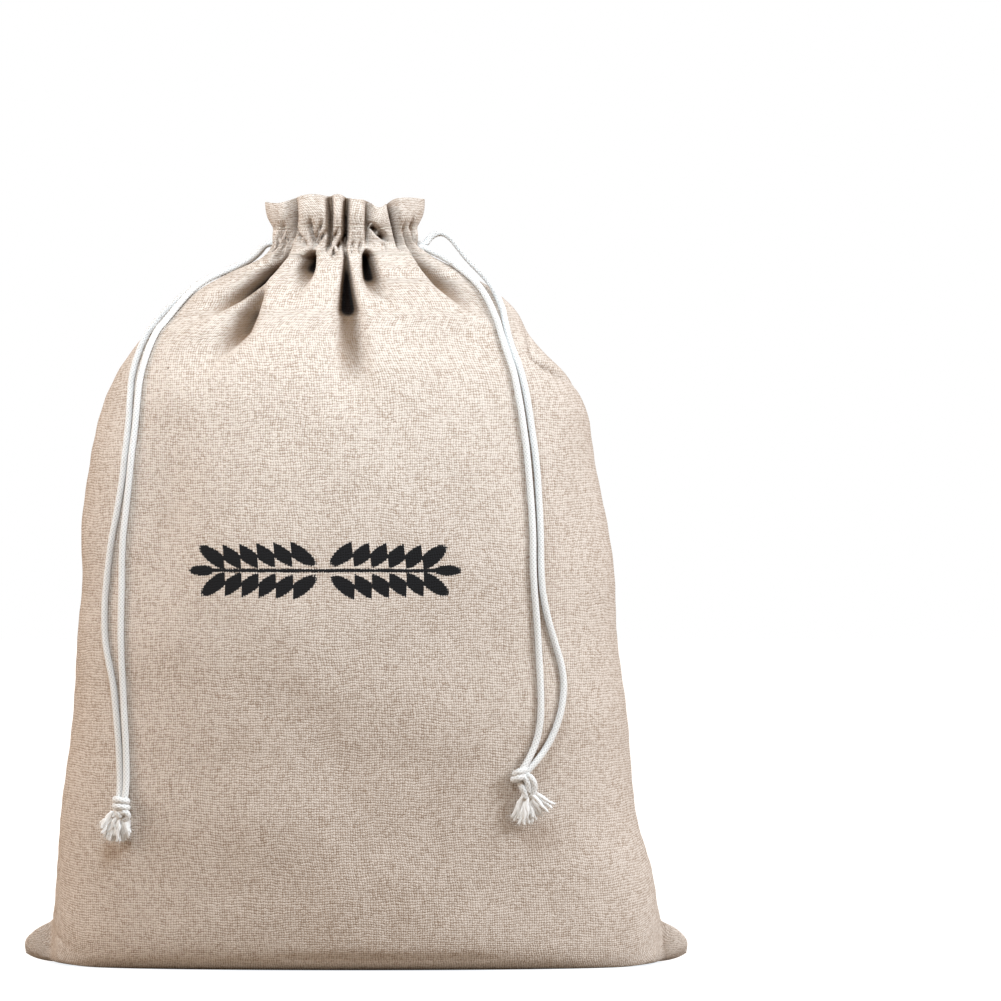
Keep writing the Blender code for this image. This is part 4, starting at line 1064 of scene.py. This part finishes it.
# Light and floor
# A plain white floor, a strong soft light from the right, a weaker warm one from the left, a small
# one before and above the neck, and a warm, even surround that looks white to the camera
SURROUND_LIGHT = (0.40, 0.26, 0.15, 1.0)
FLOOR_SIZE = 12.0
FLOOR_COLOUR = (0.38, 0.33, 0.28, 1.0)
FLOOR_NEAR, FLOOR_FAR = (0.84, 0.88, 0.91, 1.0), (1.05, 1.05, 1.05, 1.0)
FLOOR_PALES_FROM, FLOOR_PALES_TO = 0.2, 0.9
bpy.ops.mesh.primitive_plane_add(size=FLOOR_SIZE)
floor = bpy.context.object
floor.name = "floor"
floor_paint, floor_shader, floor_yarn = new_finish("floor_white", roughness=0.9, sheen=0.0)
floor_shader["Base Color"].default_value = FLOOR_COLOUR
floor_shader["Emission Strength"].default_value = 1.0
floor_place = floor_yarn.node("ShaderNodeTexCoord", output="Object")
floor_far = floor_place.node("ShaderNodeVectorMath", {"operation": "LENGTH"}, {0: floor_place}, "Value")
floor_seen = floor_yarn.node("ShaderNodeLightPath", output="Is Camera Ray")
feed(floor_shader["Emission Color"],
     floor_seen.mix((0.0, 0.0, 0.0, 1.0), floor_far.ramp(FLOOR_PALES_FROM, FLOOR_PALES_TO).mix(
         FLOOR_NEAR, FLOOR_FAR)))
floor.data.materials.append(floor_paint)


def soft_light(name, place, target, size, power, colour):
    """A square soft light at a place, facing a target."""
    lamp = bpy.data.lights.new(name, "AREA")
    lamp.color = colour
    lamp.size = size
    lamp.energy = power
    holder = bpy.data.objects.new(name, lamp)
    holder.location = place
    holder.rotation_euler = (Vector(target) - Vector(place)).to_track_quat("-Z", "Y").to_euler()
    bpy.context.scene.collection.objects.link(holder)
    return holder


SOFT_LIGHTS = (
    # name, place, target, size, power, colour
    ("right_light", (1.9, -0.7, 1.10), (0.0, 0.0, 0.2), 0.8, 57.0, (0.85, 0.93, 1.0)),
    ("left_light", (-1.9, -0.3, 0.8), (0.0, 0.0, 0.2), 0.8, 23.0, (1.0, 0.92, 0.85)),
    ("crown_light", (-0.1, -0.42, 0.66), (-0.01, 0.0, 0.33), 0.2, 4.2, (0.76, 0.90, 1.0)),
)
for light in SOFT_LIGHTS:
    soft_light(*light)

surround = bpy.data.worlds.new("surround")
bpy.context.scene.world = surround
surround.use_nodes = True
sky = Yarn(surround.node_tree)
for old in list(surround.node_tree.nodes):
    surround.node_tree.nodes.remove(old)
seen = sky.node("ShaderNodeLightPath", output="Is Camera Ray")
glow = sky.node("ShaderNodeBackground", None, {
    "Color": seen.mix(SURROUND_LIGHT, (1.0, 1.0, 1.0, 1.0)), "Strength": 1.0})
world_out = surround.node_tree.nodes.new("ShaderNodeOutputWorld")
surround.node_tree.links.new(glow.socket, world_out.inputs["Surface"])
bpy.context.scene.view_settings.view_transform = "Standard"
